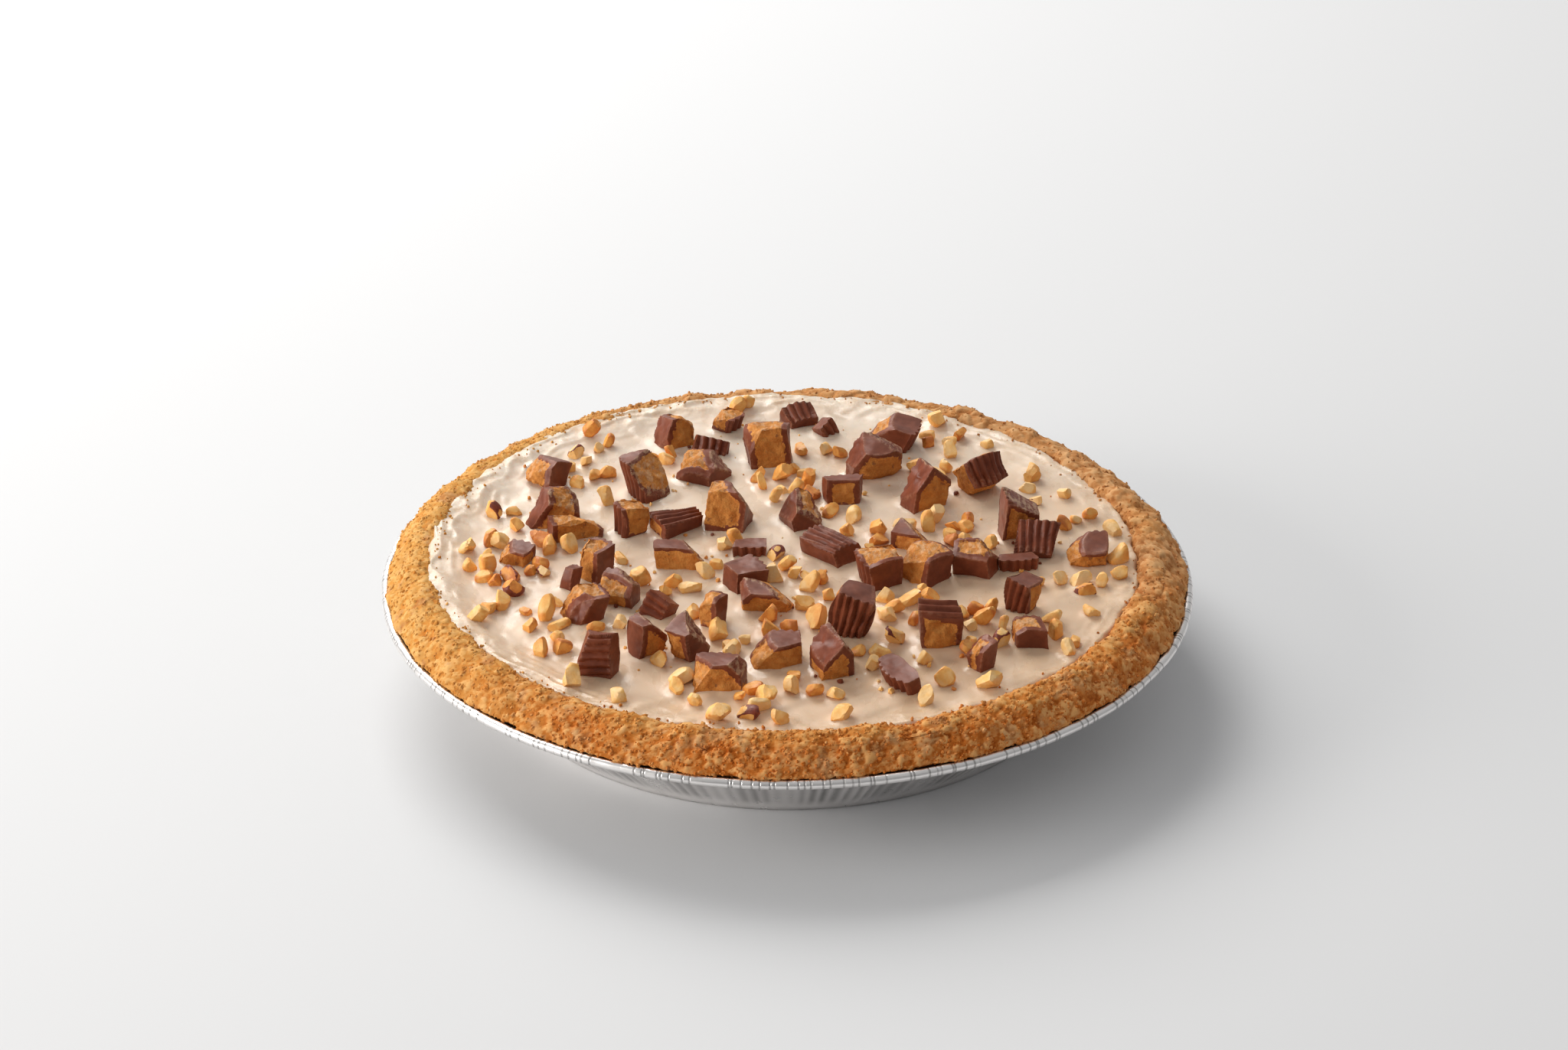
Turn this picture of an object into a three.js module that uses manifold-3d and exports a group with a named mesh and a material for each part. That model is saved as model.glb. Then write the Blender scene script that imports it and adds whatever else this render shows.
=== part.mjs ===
// An icebox pie in its foil tin: a pressed crumb shell, a smooth peanut cream, pieces of chocolate
// peanut butter cups set into the cream, and chopped peanuts scattered between them.
// Millimetres, +Z up. The origin is the middle of the tin's base, on the surface it stands on.
import * as THREE from "three";
import { mergeVertices } from "three/addons/utils/BufferGeometryUtils.js";
import Module from "manifold-3d";

const wasm = await Module();
wasm.setup();

// Driving dimensions of a nine-inch tin and of what fills it.
const GAP = 0.3; // air left between two pieces that touch
const TIN = { baseRadius: 80, rimRadius: 111.2, flangeHeight: 25.7, gauge: 0.5, beadRadius: 1.5 };
const FLUTES = { count: 32, depth: 0.8 };
const CRUST = { lipHeight: 35, outerRadius: 109.3, innerRadius: 95.8, thickness: 6.4, crag: 1 };
const CREAM = { level: 33.3, edgeDrop: 0.8 };
const CUP = { topRadius: 15.5, baseRadius: 12.5, height: 15, ribs: 42, ribDepth: 0.8, pinch: 9, sink: 1.3 };
const NUT = { longest: 6.6, shortest: 4.2, spacing: 3.1 };
const TURN_STEPS = { tin: 64, crust: 62, cream: 40 };

const RIM = { bead: TIN.rimRadius - TIN.beadRadius, height: TIN.flangeHeight + 0.7 };
const WALL_TOP = RIM.bead - 5.1; // where the tin's sloping wall turns into its flange

const MATERIALS = {
  foil: new THREE.MeshStandardMaterial({ color: 0xc9cbce, roughness: 0.32, metalness: 1 }),
  crumb: new THREE.MeshStandardMaterial({ color: 0xc98a3e, roughness: 0.9, metalness: 0 }),
  cream: new THREE.MeshStandardMaterial({ color: 0xdfcdb6, roughness: 0.45, metalness: 0 }),
  chocolate: new THREE.MeshStandardMaterial({ color: 0x5a3229, roughness: 0.42, metalness: 0 }),
};

// The cup pieces, from the back of the pie to the front. Each is a block chopped from the wall of a
// ribbed cup. at is where it stands. faces is the heading and lift of its ribbed side and its roll about
// that direction, in degrees. size is its width across the ribs, its depth and its height along the cup's
// axis. slants, where there are any, are further cuts: each one's heading, lift and distance from the middle.
const PIECES = [
  { at: [3.5, 81.5], faces: [-75, 70, 8], size: [8.5, 3.6, 6] },
  { at: [-17.5, 78.5], faces: [-40, -6, 0], size: [6.5, 6.5, 6.2], slants: [[-165, 50, 3.2]] },
  { at: [11, 75.5], faces: [-60, 20, 30], size: [4.2, 3.2, 3.8] },
  { at: [-33, 69.5], faces: [120, -12, 0], size: [11, 8.5, 8.6], slants: [[200, 25, 3.6], [40, 52, 4.4]] },
  { at: [29.5, 67], faces: [-15, -14, 0], size: [10.5, 14.5, 7.4], slants: [[172, 56, 2.6]] },
  { at: [-22.5, 62.3], faces: [-80, 34, -16], size: [8.6, 3.4, 4.4] },
  { at: [-5.5, 56], faces: [95, -12, 0], size: [12.5, 8.5, 12], slants: [[-150, 30, 6]] },
  { at: [25, 48.5], faces: [110, 16, 0], size: [15.5, 9.5, 9.2], slants: [[-165, 35, 5.4], [25, 58, 4.8]] },
  { at: [-24, 47], faces: [60, 0, 0], size: [12.8, 12, 7.6], slants: [[-140, 50, 4.4], [5, 48, 4.2]] },
  { at: [-69, 43.5], faces: [60, -22, 0], size: [10.4, 8, 6.4], slants: [[-165, 55, 2.2]] },
  { at: [54.5, 38], faces: [-50, 38, 0], size: [11, 10, 8] },
  { at: [-39, 35.4], faces: [-150, 0, 6], size: [10, 12, 11.5], slants: [[-25, 42, 1]] },
  { at: [15.5, 31.5], faces: [95, -14, 0], size: [10, 6, 8] },
  { at: [38.5, 31], faces: [125, 0, 0], size: [12.5, 10.5, 13.5], slants: [[-170, 38, 3], [30, 48, 5]] },
  { at: [-65.2, 18.8], faces: [100, -8, 0], size: [14.6, 7.6, 10], slants: [[198, 35, 3.4], [-40, 58, 3.8]] },
  { at: [-16, 18], faces: [78, -10, 0], size: [12, 11, 12], slants: [[15, 32, 4]] },
  { at: [4, 18.5], faces: [28, 0, 0], size: [11, 10.5, 9.6], slants: [[-165, 35, 3.4], [-15, 50, 2.6]] },
  { at: [-58.8, 11], faces: [20, 0, 0], size: [7, 14.5, 6.5], slants: [[60, 60, 3]] },
  { at: [-43.5, 12.5], faces: [-150, 10, 0], size: [7, 7, 9] },
  { at: [-30.6, 14.6], faces: [30, 96, 0], size: [7.2, 5.6, 13.4] },
  { at: [64, 10.5], faces: [10, 86, 0], size: [7, 13.5, 10.5], slants: [[0, 58, 4.6]] },
  { at: [34, 4], faces: [60, 0, 0], size: [9.5, 7.5, 7], slants: [[20, 45, 2.6]] },
  { at: [68.5, 1], faces: [-97, 50, 0], size: [9.5, 5, 8] },
  { at: [11.5, -1], faces: [-40, 97, 0], size: [8.6, 6.6, 12.8] },
  { at: [-10.2, 0], faces: [-92, 0, 0], size: [7.6, 4.4, 5] },
  { at: [82.2, -3.8], faces: [95, 14, 0], size: [11, 7.6, 6.6], slants: [[-170, 50, 3.6]] },
  { at: [-29.5, -6], faces: [78, -10, 0], size: [13, 6.4, 5.6], slants: [[25, 40, 3.4]] },
  { at: [-74, -4.5], faces: [70, 0, 0], size: [8.6, 6.2, 5.2], slants: [[-170, 55, 2.6]] },
  { at: [63, -8], faces: [-82, 8, 0], size: [9.2, 4, 3.8] },
  { at: [50.7, -10.5], faces: [80, 8, 0], size: [11, 8, 7.6], slants: [[10, 45, 4.4]] },
  { at: [-52, -12.8], faces: [60, 0, 0], size: [7, 7, 9.6] },
  { at: [24.9, -15.6], faces: [-165, 0, 0], size: [10.8, 10.8, 9.6] },
  { at: [37.4, -14], faces: [50, 0, 0], size: [10.4, 9.9, 10.2], slants: [[-160, 52, 4.8]] },
  { at: [-58.5, -19.6], faces: [60, -12, 0], size: [3.2, 3, 7.2] },
  { at: [-11.5, -19], faces: [30, 0, 0], size: [7.8, 8.6, 7.4] },
  { at: [-45, -27], faces: [72, 5, 0], size: [9.8, 7, 8], slants: [[20, 55, 4.2], [-125, 45, 2.6]] },
  { at: [-5.4, -29.7], faces: [80, 6, 0], size: [13.7, 8, 6.8], slants: [[30, 58, 3], [-165, 45, 6]] },
  { at: [62.4, -31.5], faces: [-122, 8, -12], size: [6.8, 5.8, 10.2] },
  { at: [-34.3, -34.8], faces: [-125, 20, 75], size: [6, 4.2, 6.2] },
  { at: [-54, -35.5], faces: [30, -10, 0], size: [9.6, 9, 8.4], slants: [[-150, 45, 3.6], [-112, 18, 4.2]] },
  { at: [-19.5, -39.5], faces: [60, 0, 0], size: [5.2, 5.2, 9], slants: [[-170, 55, 3.8]] },
  { at: [17.2, -45.8], faces: [-100, 0, -16], size: [10.5, 8, 13] },
  { at: [40, -50], faces: [-95, 64, 100], size: [9, 11.5, 10.6], slants: [[-85, 0, 3.8]] },
  { at: [63.4, -49.2], faces: [100, 0, 0], size: [8.2, 6.6, 6.4], slants: [[-160, 55, 3.6]] },
  { at: [-36.5, -54.5], faces: [125, 0, 0], size: [7.8, 7.6, 10.4], slants: [[30, 45, 3.4]] },
  { at: [-25.6, -57], faces: [50, 8, 0], size: [7.8, 7.8, 11], slants: [[5, 38, 3]] },
  { at: [-2.6, -60.2], faces: [100, 0, 0], size: [13, 8.6, 7.4], slants: [[-160, 48, 3.8]] },
  { at: [-48.6, -65], faces: [-112, 12, 98], size: [11.4, 6.2, 9], slants: [[-178, 25, 4.5]] },
  { at: [50.3, -62.2], faces: [130, 0, 0], size: [5.2, 5, 9], slants: [[-170, 50, 2.8]] },
  { at: [12.3, -64], faces: [104, 0, 0], size: [10, 9.6, 11.4], slants: [[-150, 45, 4], [20, 35, 4]] },
  { at: [-17.6, -71.2], faces: [86, -8, 0], size: [12.7, 7.4, 7.2], slants: [[-150, 38, 4.6], [-15, 40, 5.2]] },
  { at: [29.5, -70.8], faces: [-152, -8, 0], size: [13.5, 6, 5] },
];

// Where the chopped peanuts lie, by eye: the middle of each small heap and how many nuts are in it.
const NUT_HEAPS = [
  [-12, 88.5, 2], [46, 83, 1], [-57.5, 72, 1], [50, 71.5, 1], [42, 69, 2], [47, 67.5, 1], [58, 66.5, 1],
  [-53, 64.5, 2], [-37, 58.5, 3], [-61, 60, 1], [11, 63, 1], [15, 60, 1], [47, 60, 1], [4, 63, 1],
  [-59.5, 51.5, 2], [5.5, 47.5, 1], [36, 49.5, 1], [70, 50, 1], [-51.5, 47, 1], [46, 47, 2],
  [-56.5, 42.5, 2], [0, 46, 2], [-8, 42, 2], [69, 42, 2], [78, 34.5, 1], [-3.5, 34, 2], [4.5, 38, 2],
  [70, 30, 1], [-51, 29.5, 1], [8.5, 33, 1], [14, 28, 1], [-76.5, 23.5, 1], [84.5, 21.5, 1],
  [-82, 22.5, 1], [18.5, 20, 1], [41, 18.5, 1], [77, 18.5, 2], [48, 16, 2], [-75, 14, 1], [25, 11, 1],
  [36.5, 14.5, 2], [91, 12, 1], [-69.5, 9, 1], [16.5, 11, 1], [50, 9.5, 2], [44.5, 7.5, 2],
  [-65.5, 5.5, 1], [-59.5, 5, 1], [25.5, 4, 2], [56, 3.5, 1], [-17, 4.5, 2], [-84, 2.5, 2], [-79, 4, 1],
  [-65, 1, 1], [-5.5, -1.5, 1], [-88.5, -0.5, 1], [91, -4.5, 1], [-45.5, -4.5, 1], [-22.5, -9, 2],
  [-83.5, -6.5, 2], [-66.5, -10.5, 2], [0, -10, 1], [-83, -11.5, 2], [0, -14.5, 2], [-73, -13, 2],
  [6, -16.5, 1], [88.5, -16, 2], [-78.5, -17.5, 1], [71, -18.5, 2], [-39.5, -18, 1], [9, -20, 2],
  [80, -19, 2], [-32.5, -21, 2], [-26, -22, 1], [37.5, -24.5, 2], [-74.5, -26, 2], [26, -27, 1],
  [33, -28.5, 1], [11, -26, 1], [-63, -29, 1], [3, -31.5, 1], [81, -33.5, 1], [56, -32.5, 1], [29, -36, 2],
  [-80.5, -35.5, 2], [-69.5, -34, 1], [48.5, -35.5, 2], [-25, -36, 1], [-63, -36, 1], [34, -39, 1],
  [70, -39, 1], [-58, -39.5, 1], [-5.5, -41.5, 2], [1, -42.5, 1], [9, -41.5, 1], [51, -42.5, 2],
  [-68, -43, 1], [71, -46, 1], [57, -42.5, 1], [-46.5, -43, 2], [-18, -46.5, 1], [57, -51, 1],
  [-60, -48.5, 1], [28, -50.5, 1], [75.5, -53.5, 2], [46, -53, 2], [18.5, -55.5, 1], [-13.5, -50.5, 2],
  [-61, -55, 2], [24, -57, 1], [-14.5, -56, 1], [37, -57.5, 1], [-31, -59, 1], [22, -63, 1],
  [-56.5, -74, 1], [40.5, -70.5, 1], [-28.5, -74, 1], [-25, -71, 1], [2, -71.5, 2], [52, -73.5, 1],
  [7, -76, 1], [12, -77, 1], [-10, -78, 2], [-44, -81, 1], [35.5, -80, 1], [-23.5, -81, 1],
  [-5.5, -82.5, 2], [-10, -87, 1], [-1.5, -90.5, 1], [14, -88, 1], [-17.5, -90.5, 1],
];

const radians = THREE.MathUtils.degToRad;

// A repeatable draw between 0 and 1: answer number k about item i.
function draw(i, k) {
  const wave = Math.sin(i * 12.9898 + k * 78.233) * 43758.5453;
  return wave - Math.floor(wave);
}

// A closed geometry as a solid that can be cut and joined.
function solidOf(geometry) {
  const bare = geometry.index ? geometry.toNonIndexed() : geometry.clone();
  bare.deleteAttribute("normal");
  bare.deleteAttribute("uv");
  const merged = mergeVertices(bare, 1e-4);
  return new wasm.Manifold(
    new wasm.Mesh({
      numProp: 3,
      vertProperties: merged.attributes.position.array,
      triVerts: new Uint32Array(merged.index.array),
    }),
  );
}

function geometryOf(solid) {
  const mesh = solid.getMesh();
  const geometry = new THREE.BufferGeometry();
  geometry.setAttribute("position", new THREE.BufferAttribute(mesh.vertProperties, 3));
  geometry.setIndex(new THREE.BufferAttribute(mesh.triVerts, 1));
  geometry.computeVertexNormals();
  return geometry;
}

// A profile of [radius, height] points turned about Z, then reshaped by shape(radius, angle, height),
// which gives back the new radius and height of a point.
function turned(profile, steps, shape) {
  const points = profile.map(([radius, height]) => new THREE.Vector2(radius, height));
  const geometry = new THREE.LatheGeometry(points, steps).rotateX(Math.PI / 2);
  const place = geometry.attributes.position;
  for (let i = 0; i < place.count; i++) {
    const angle = Math.atan2(place.getY(i), place.getX(i));
    const radius = Math.hypot(place.getX(i), place.getY(i));
    const [newRadius, newHeight] = shape(radius, angle, place.getZ(i));
    place.setXYZ(i, newRadius * Math.cos(angle), newRadius * Math.sin(angle), newHeight);
  }
  return geometry;
}

// The pressed foil tin: flat base, sloping fluted wall, narrow flange and a rolled bead round the rim.
function tinGeometry() {
  const { baseRadius, flangeHeight, gauge, beadRadius } = TIN;
  const bead = [-140, -90, -30, 30, 90, 180].map((angle) => [
    RIM.bead + beadRadius * Math.cos(radians(angle)),
    RIM.height + beadRadius * Math.sin(radians(angle)),
  ]);
  const skin = gauge * Math.SQRT1_2;
  const wall = [0.2, 0.92].map((share) => [
    THREE.MathUtils.lerp(baseRadius, WALL_TOP, share),
    THREE.MathUtils.lerp(1.2, flangeHeight, share),
  ]);
  const outside = [[0, 0], [baseRadius - 1.5, 0], [baseRadius, 1.2], ...wall, [WALL_TOP, flangeHeight]];
  const inside = [
    [WALL_TOP - skin, flangeHeight + gauge],
    ...wall.map(([radius, height]) => [radius - skin, height + skin]).reverse(),
    [baseRadius - 1.7, gauge],
    [0, gauge],
  ];
  const onWall = (height) => height > wall[0][1] - 0.1 && height < wall[1][1] + gauge;
  return turned([...outside, ...bead, ...inside], TURN_STEPS.tin, (radius, angle, height) => {
    const flute = onWall(height) ? (FLUTES.depth / 2) * Math.cos(FLUTES.count * angle) : 0;
    return [radius + flute, height];
  });
}

// Slow, uneven swells of the pressed crumb round the lip, between about -1 and 1.
function crags(angle, height) {
  const slow = Math.sin(7 * angle + 0.8) + Math.sin(13 * angle + 2.1);
  const quick = Math.sin(29 * angle + height) + Math.sin(41 * angle - 0.7 * height);
  return 0.22 * slow + 0.28 * quick;
}

// The crumb shell: it lines the tin, stands over the flange and slopes up from
// the bead to a craggy lip, and holds the cream.
function crustGeometry() {
  const { lipHeight, outerRadius, innerRadius, thickness, crag } = CRUST;
  const inset = TIN.gauge + GAP + FLUTES.depth;
  const lipFoot = TIN.flangeHeight + TIN.gauge + GAP;
  const outside = [
    [0, TIN.gauge + GAP],
    [TIN.baseRadius - 2.2, TIN.gauge + GAP],
    [TIN.baseRadius - inset, inset + 1],
    [WALL_TOP - inset - 0.9, lipFoot - 1],
    [WALL_TOP, lipFoot + 0.2],
    [RIM.bead - 2.6, lipFoot + 0.4],
    [RIM.bead - 1.9, lipFoot + 1.7],
  ];
  const lip = [
    [outerRadius, lipHeight - 6.5],
    [outerRadius - 0.5, lipHeight - 5.3],
    [outerRadius - 3.5, lipHeight - 2.7],
    [outerRadius - 6.4, lipHeight - 0.7],
    [innerRadius + 3.6, lipHeight],
    [innerRadius + 0.9, lipHeight - 0.8],
  ];
  const inside = [
    [innerRadius, CREAM.level - 1.8],
    [TIN.baseRadius - thickness + 3.4, thickness + 2.2],
    [TIN.baseRadius - thickness, thickness + 0.8],
    [0, thickness + 0.8],
  ];
  return turned([...outside, ...lip, ...inside], TURN_STEPS.crust, (radius, angle, height) => {
    const onLip = height > lipHeight - 6 && radius > innerRadius + 0.5;
    const swell = onLip ? crag * crags(angle, height) : 0;
    const outward = radius > outerRadius - 6 ? 0.6 : -0.3;
    return [radius + outward * swell, height + 0.8 * swell * (height > lipHeight - 2)];
  });
}

// The height of the spread cream at a place on the pie.
function creamHeight(x, y) {
  const share = Math.hypot(x, y) / CRUST.innerRadius;
  return CREAM.level - CREAM.edgeDrop * share ** 6;
}

// The bare cream: it fills the crumb shell up to its lip.
function creamGeometry() {
  const floorRadius = TIN.baseRadius - CRUST.thickness - GAP;
  const floorHeight = CRUST.thickness + 0.8 + GAP;
  const edge = CRUST.innerRadius - 1.4 * GAP;
  const shoulder = [floorRadius + 3.4, floorHeight + 1.4 + GAP];
  const top = [1, 0.82, 0.5, 0].map((share) => [edge * share, CREAM.level]);
  const side = [[0, floorHeight], [floorRadius, floorHeight], shoulder, [edge, CREAM.level - 1.7]];
  return turned([...side, ...top], TURN_STEPS.cream, (radius, angle, height) => {
    const onTop = height > CREAM.level - 0.1;
    return [radius, onTop ? creamHeight(radius * Math.cos(angle), radius * Math.sin(angle)) : height];
  });
}

// A whole ribbed cup, its axis on Z: the ribs are drawn as a crown and a valley each.
function cupSolid() {
  const { baseRadius, topRadius, height, ribs, ribDepth } = CUP;
  const profile = [[0, 0], [baseRadius, 0], [topRadius, height], [0, height]];
  const cup = turned(profile, 2 * ribs, (radius, angle, z) => {
    const valley = Math.abs(Math.sin((ribs * angle) / 2));
    return [radius > 0.5 ? radius - ribDepth * valley : radius, z];
  });
  return solidOf(cup);
}

// How a piece is turned: its ribbed side (local +X) looks along its heading and lift.
function pieceTurn({ faces: [heading, lift, roll] }) {
  return new THREE.Euler(radians(roll), radians(-lift), radians(heading), "ZYX");
}

// A block chopped from the cup, its middle on the origin: the knife's planes lean a few degrees each way.
function choppedPiece(cup, piece, index) {
  const [wide, deep, tall] = piece.size;
  const midRadius = (CUP.baseRadius + CUP.topRadius) / 2;
  const heart = new THREE.Vector3(midRadius - deep / 2, 0, CUP.height - tall / 2);
  const lean = (k) => radians(CUP.pinch) * (2 * draw(index, k) - 1);
  const knives = [
    { normal: new THREE.Vector3(1, lean(1), lean(2)), reach: deep / 2 },
    { normal: new THREE.Vector3(0.12 + lean(3), -1, lean(4)), reach: wide / 2 },
    { normal: new THREE.Vector3(0.12 + lean(5), 1, lean(6)), reach: wide / 2 },
    { normal: new THREE.Vector3(lean(7), lean(8), 1), reach: tall / 2 },
  ];
  const unturn = new THREE.Quaternion().setFromEuler(pieceTurn(piece)).invert();
  for (const [heading, lift, distance] of piece.slants ?? []) {
    const cut = pieceTurn({ faces: [heading, lift, 0] });
    const inward = new THREE.Vector3(-1, 0, 0).applyEuler(cut).applyQuaternion(unturn);
    knives.push({ normal: inward, reach: distance });
  }
  let block = cup.translate(heart.clone().negate().toArray());
  for (const { normal, reach } of knives) {
    block = block.trimByPlane(normal.normalize().toArray(), -reach);
  }
  return block;
}

// The highest cream under a piece.
function creamUnder([x, y]) {
  const share = Math.max(0, 1 - 7 / Math.hypot(x, y));
  return creamHeight(x * share, y * share);
}

// Stands a chopped piece on the cream, its foot cut level just clear of the surface.
function placedPiece(cup, piece, index) {
  const mesh = new THREE.Mesh(undefined, MATERIALS.chocolate);
  mesh.name = `cup_piece_${String(index + 1).padStart(2, "0")}`;
  mesh.rotation.copy(pieceTurn(piece));
  mesh.geometry = geometryOf(choppedPiece(cup, piece, index));
  const lowest = new THREE.Box3().setFromObject(mesh, true).min.z;
  const level = creamUnder(piece.at);
  mesh.position.set(...piece.at, level - CUP.sink - lowest);
  mesh.updateMatrix();
  const standing = solidOf(mesh.geometry.applyMatrix4(mesh.matrix)).trimByPlane([0, 0, 1], level + GAP);
  mesh.geometry = geometryOf(standing).applyMatrix4(mesh.matrix.clone().invert());
  return { mesh, solid: standing };
}

// How far a piece reaches from its middle towards a direction on the level, taken as a plain block.
function reachOf(piece, direction) {
  const [wide, deep, tall] = piece.size;
  const unturn = new THREE.Quaternion().setFromEuler(pieceTurn(piece)).invert();
  const towards = direction.clone().applyQuaternion(unturn);
  return (Math.abs(towards.x) * deep + Math.abs(towards.y) * wide + Math.abs(towards.z) * tall) / 2;
}

// Places of the chopped nuts: round the middle of each heap, moved out from under the cup pieces.
function nutPlaces() {
  const places = [];
  for (const [heapX, heapY, count] of NUT_HEAPS) {
    for (let k = 0; k < count; k++) {
      const i = places.length;
      const angle = 2 * Math.PI * (k / count + 0.3 * draw(i, 11));
      const offset = count > 1 ? NUT.spacing * (0.7 + 0.3 * count * draw(i, 12)) : 0;
      const size = THREE.MathUtils.lerp(NUT.shortest, NUT.longest, draw(i, 13));
      const spot = new THREE.Vector3(heapX + offset * Math.cos(angle), heapY + offset * Math.sin(angle), 0);
      for (const piece of [...PIECES, ...PIECES]) {
        const away = spot.clone().sub(new THREE.Vector3(...piece.at, 0));
        const distance = away.length();
        away.normalize();
        const clear = reachOf(piece, away) + 0.45 * size + GAP;
        if (distance < clear) spot.addScaledVector(away, clear - distance);
      }
      spot.clampLength(0, CRUST.innerRadius - 0.6 * size - 1);
      places.push({ spot, size });
    }
  }
  return places;
}

// One chopped nut: an eight-sided lump, tipped about and half sunk in the cream.
function nutSolid({ spot, size }, i) {
  const lump = new THREE.OctahedronGeometry(0.56, 0);
  lump.rotateX(0.9 * draw(i, 14));
  lump.rotateY(0.9 * draw(i, 15));
  lump.scale(1.2 * size, size * (0.75 + 0.3 * draw(i, 16)), size * (0.85 + 0.25 * draw(i, 18)));
  lump.rotateZ(2 * Math.PI * draw(i, 17));
  lump.translate(spot.x, spot.y, creamHeight(spot.x, spot.y) + 0.1 * size);
  return solidOf(lump);
}

// The cream with its nuts grown onto it. A nut that would touch a cup piece is cut back or left out.
function fillingSolid(cream, pieces) {
  const grown = pieces.map(({ mesh, solid }) => {
    const middle = mesh.position.toArray();
    return solid.translate(middle.map((v) => -v)).scale(1.1).translate(middle);
  });
  const nuts = [];
  nutPlaces().forEach((place, i) => {
    const whole = nutSolid(place, i);
    const free = grown.reduce((rest, piece) => rest.subtract(piece), whole);
    const parts = free.decompose();
    const kept = parts.reduce((best, part) => (part.volume() > best.volume() ? part : best), parts[0]);
    if (kept && kept.volume() > 0.7 * whole.volume()) nuts.push(kept);
  });
  return nuts.reduce((sum, nut) => sum.add(nut), cream);
}

function named(name, geometry, material) {
  const mesh = new THREE.Mesh(geometry, material);
  mesh.name = name;
  return mesh;
}

const cup = cupSolid();
const cream = solidOf(creamGeometry());
const pieces = PIECES.map((piece, index) => placedPiece(cup, piece, index));

const pie = new THREE.Group();
pie.name = "icebox_pie";
pie.add(named("foil_tin", tinGeometry(), MATERIALS.foil));
pie.add(named("crumb_crust", crustGeometry(), MATERIALS.crumb));
pie.add(named("cream_filling", geometryOf(fillingSolid(cream, pieces)), MATERIALS.cream));
const topping = new THREE.Group();
topping.name = "cup_topping";
topping.add(...pieces.map(({ mesh }) => mesh));
pie.add(topping);

export default pie;
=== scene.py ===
# %% [markdown]
# # An icebox pie in its foil tin
# A pressed crumb shell stands in a foil tin. It holds a smooth peanut cream, and pieces of chopped
# chocolate peanut cups and chopped peanuts lie on top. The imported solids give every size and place; this
# lesson gives each of them its real surface. Shapes are worked out with numpy in millimetres and become
# meshes in metres.

import bpy
import numpy as np
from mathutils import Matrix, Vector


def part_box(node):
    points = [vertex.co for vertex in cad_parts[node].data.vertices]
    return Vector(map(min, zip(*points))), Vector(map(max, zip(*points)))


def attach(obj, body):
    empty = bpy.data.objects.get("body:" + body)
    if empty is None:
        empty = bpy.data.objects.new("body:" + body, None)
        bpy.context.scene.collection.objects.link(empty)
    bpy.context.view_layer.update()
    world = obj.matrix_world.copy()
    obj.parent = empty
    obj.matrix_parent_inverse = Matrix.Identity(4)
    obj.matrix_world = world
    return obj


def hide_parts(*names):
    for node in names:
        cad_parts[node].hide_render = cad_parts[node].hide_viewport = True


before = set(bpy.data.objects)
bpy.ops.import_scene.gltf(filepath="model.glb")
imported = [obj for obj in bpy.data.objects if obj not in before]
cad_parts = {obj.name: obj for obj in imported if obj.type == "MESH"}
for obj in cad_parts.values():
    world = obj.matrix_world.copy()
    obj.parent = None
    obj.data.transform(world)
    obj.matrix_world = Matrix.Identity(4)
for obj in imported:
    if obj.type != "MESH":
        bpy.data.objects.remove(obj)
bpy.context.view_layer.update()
MM = 0.001


def box_mm(node):
    """The lowest and highest corner of a solid of the frame, in millimetres."""
    low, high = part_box(node)
    return np.array(low) / MM, np.array(high) / MM


tin_low, tin_high = box_mm("foil_tin")
print("solids:", len(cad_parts), "tin across:", round(float(tin_high[0] - tin_low[0]), 1), "mm")

# %% [markdown]
# ## The view
# The photograph looks down on the pie at a little over 27 degrees from about a metre away, with a
# slightly long lens. A camera is only a place, a turn and a focal length, so these are set as plain
# numbers.

# %% Camera
VIEW_DISTANCE = 1011.5
VIEW_RISE = np.radians(28.33)
VIEW_DIP = np.radians(27.5375)
VIEW_YAW = np.radians(0.0565)
AIM_HEIGHT = 26.45
SENSOR_WIDTH = 36
FOCAL_LENGTH = 84.375

camera = bpy.data.objects.new("view", bpy.data.cameras.new("view"))
bpy.context.scene.collection.objects.link(camera)
camera.data.sensor_width = SENSOR_WIDTH
camera.data.lens = FOCAL_LENGTH
camera.location = (
    0,
    -VIEW_DISTANCE * np.cos(VIEW_RISE) * MM,
    (AIM_HEIGHT + VIEW_DISTANCE * np.sin(VIEW_RISE)) * MM,
)
camera.rotation_euler = (np.pi / 2 - VIEW_DIP, 0, VIEW_YAW)
bpy.context.scene.camera = camera
print("camera at", [round(v, 3) for v in camera.location])

# %% [markdown]
# ## Unevenness that repeats
# Food is uneven, but a lesson has to give the same pie each time it runs. So nothing is drawn from a
# clock: `lattice` gives every cell of space a fixed number, and `swell` blends those numbers into smooth
# noise for lumps and smears. `ease` is the soft step from 0 to 1 that many shapes below use.


# %% Repeatable noise
def lattice(cell, seed):
    """A fixed number from 0 to 1 for each whole-number cell: its three numbers mixed bit by bit."""
    x, y, z = (cell[..., k].astype(np.uint64) for k in range(3))
    mixed = (x * 73856093) ^ (y * 19349663) ^ (z * 83492791) ^ np.uint64(seed * 2654435761 % 2**32)
    for shift in (15, 13):
        mixed = ((mixed ^ (mixed >> np.uint64(shift))) & np.uint64(0xFFFFFFFF)) * 2246822519
    return ((mixed >> np.uint64(8)) & np.uint64(0xFFFFFF)) / 0xFFFFFF


def swell(points, size, seed=0):
    """Smooth noise from -1 to 1: numbers on a cube lattice of that size, blended by a smooth step."""
    place = np.asarray(points, float) / size
    low = np.floor(place).astype(np.int64)
    share = place - low
    share = share * share * (3 - 2 * share)
    total = np.zeros(place.shape[:-1])
    for corner in np.ndindex(2, 2, 2):
        weight = np.prod(np.where(corner, share, 1 - share), axis=-1)
        total += weight * lattice(low + np.array(corner), seed)
    return 2 * total - 1


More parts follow.
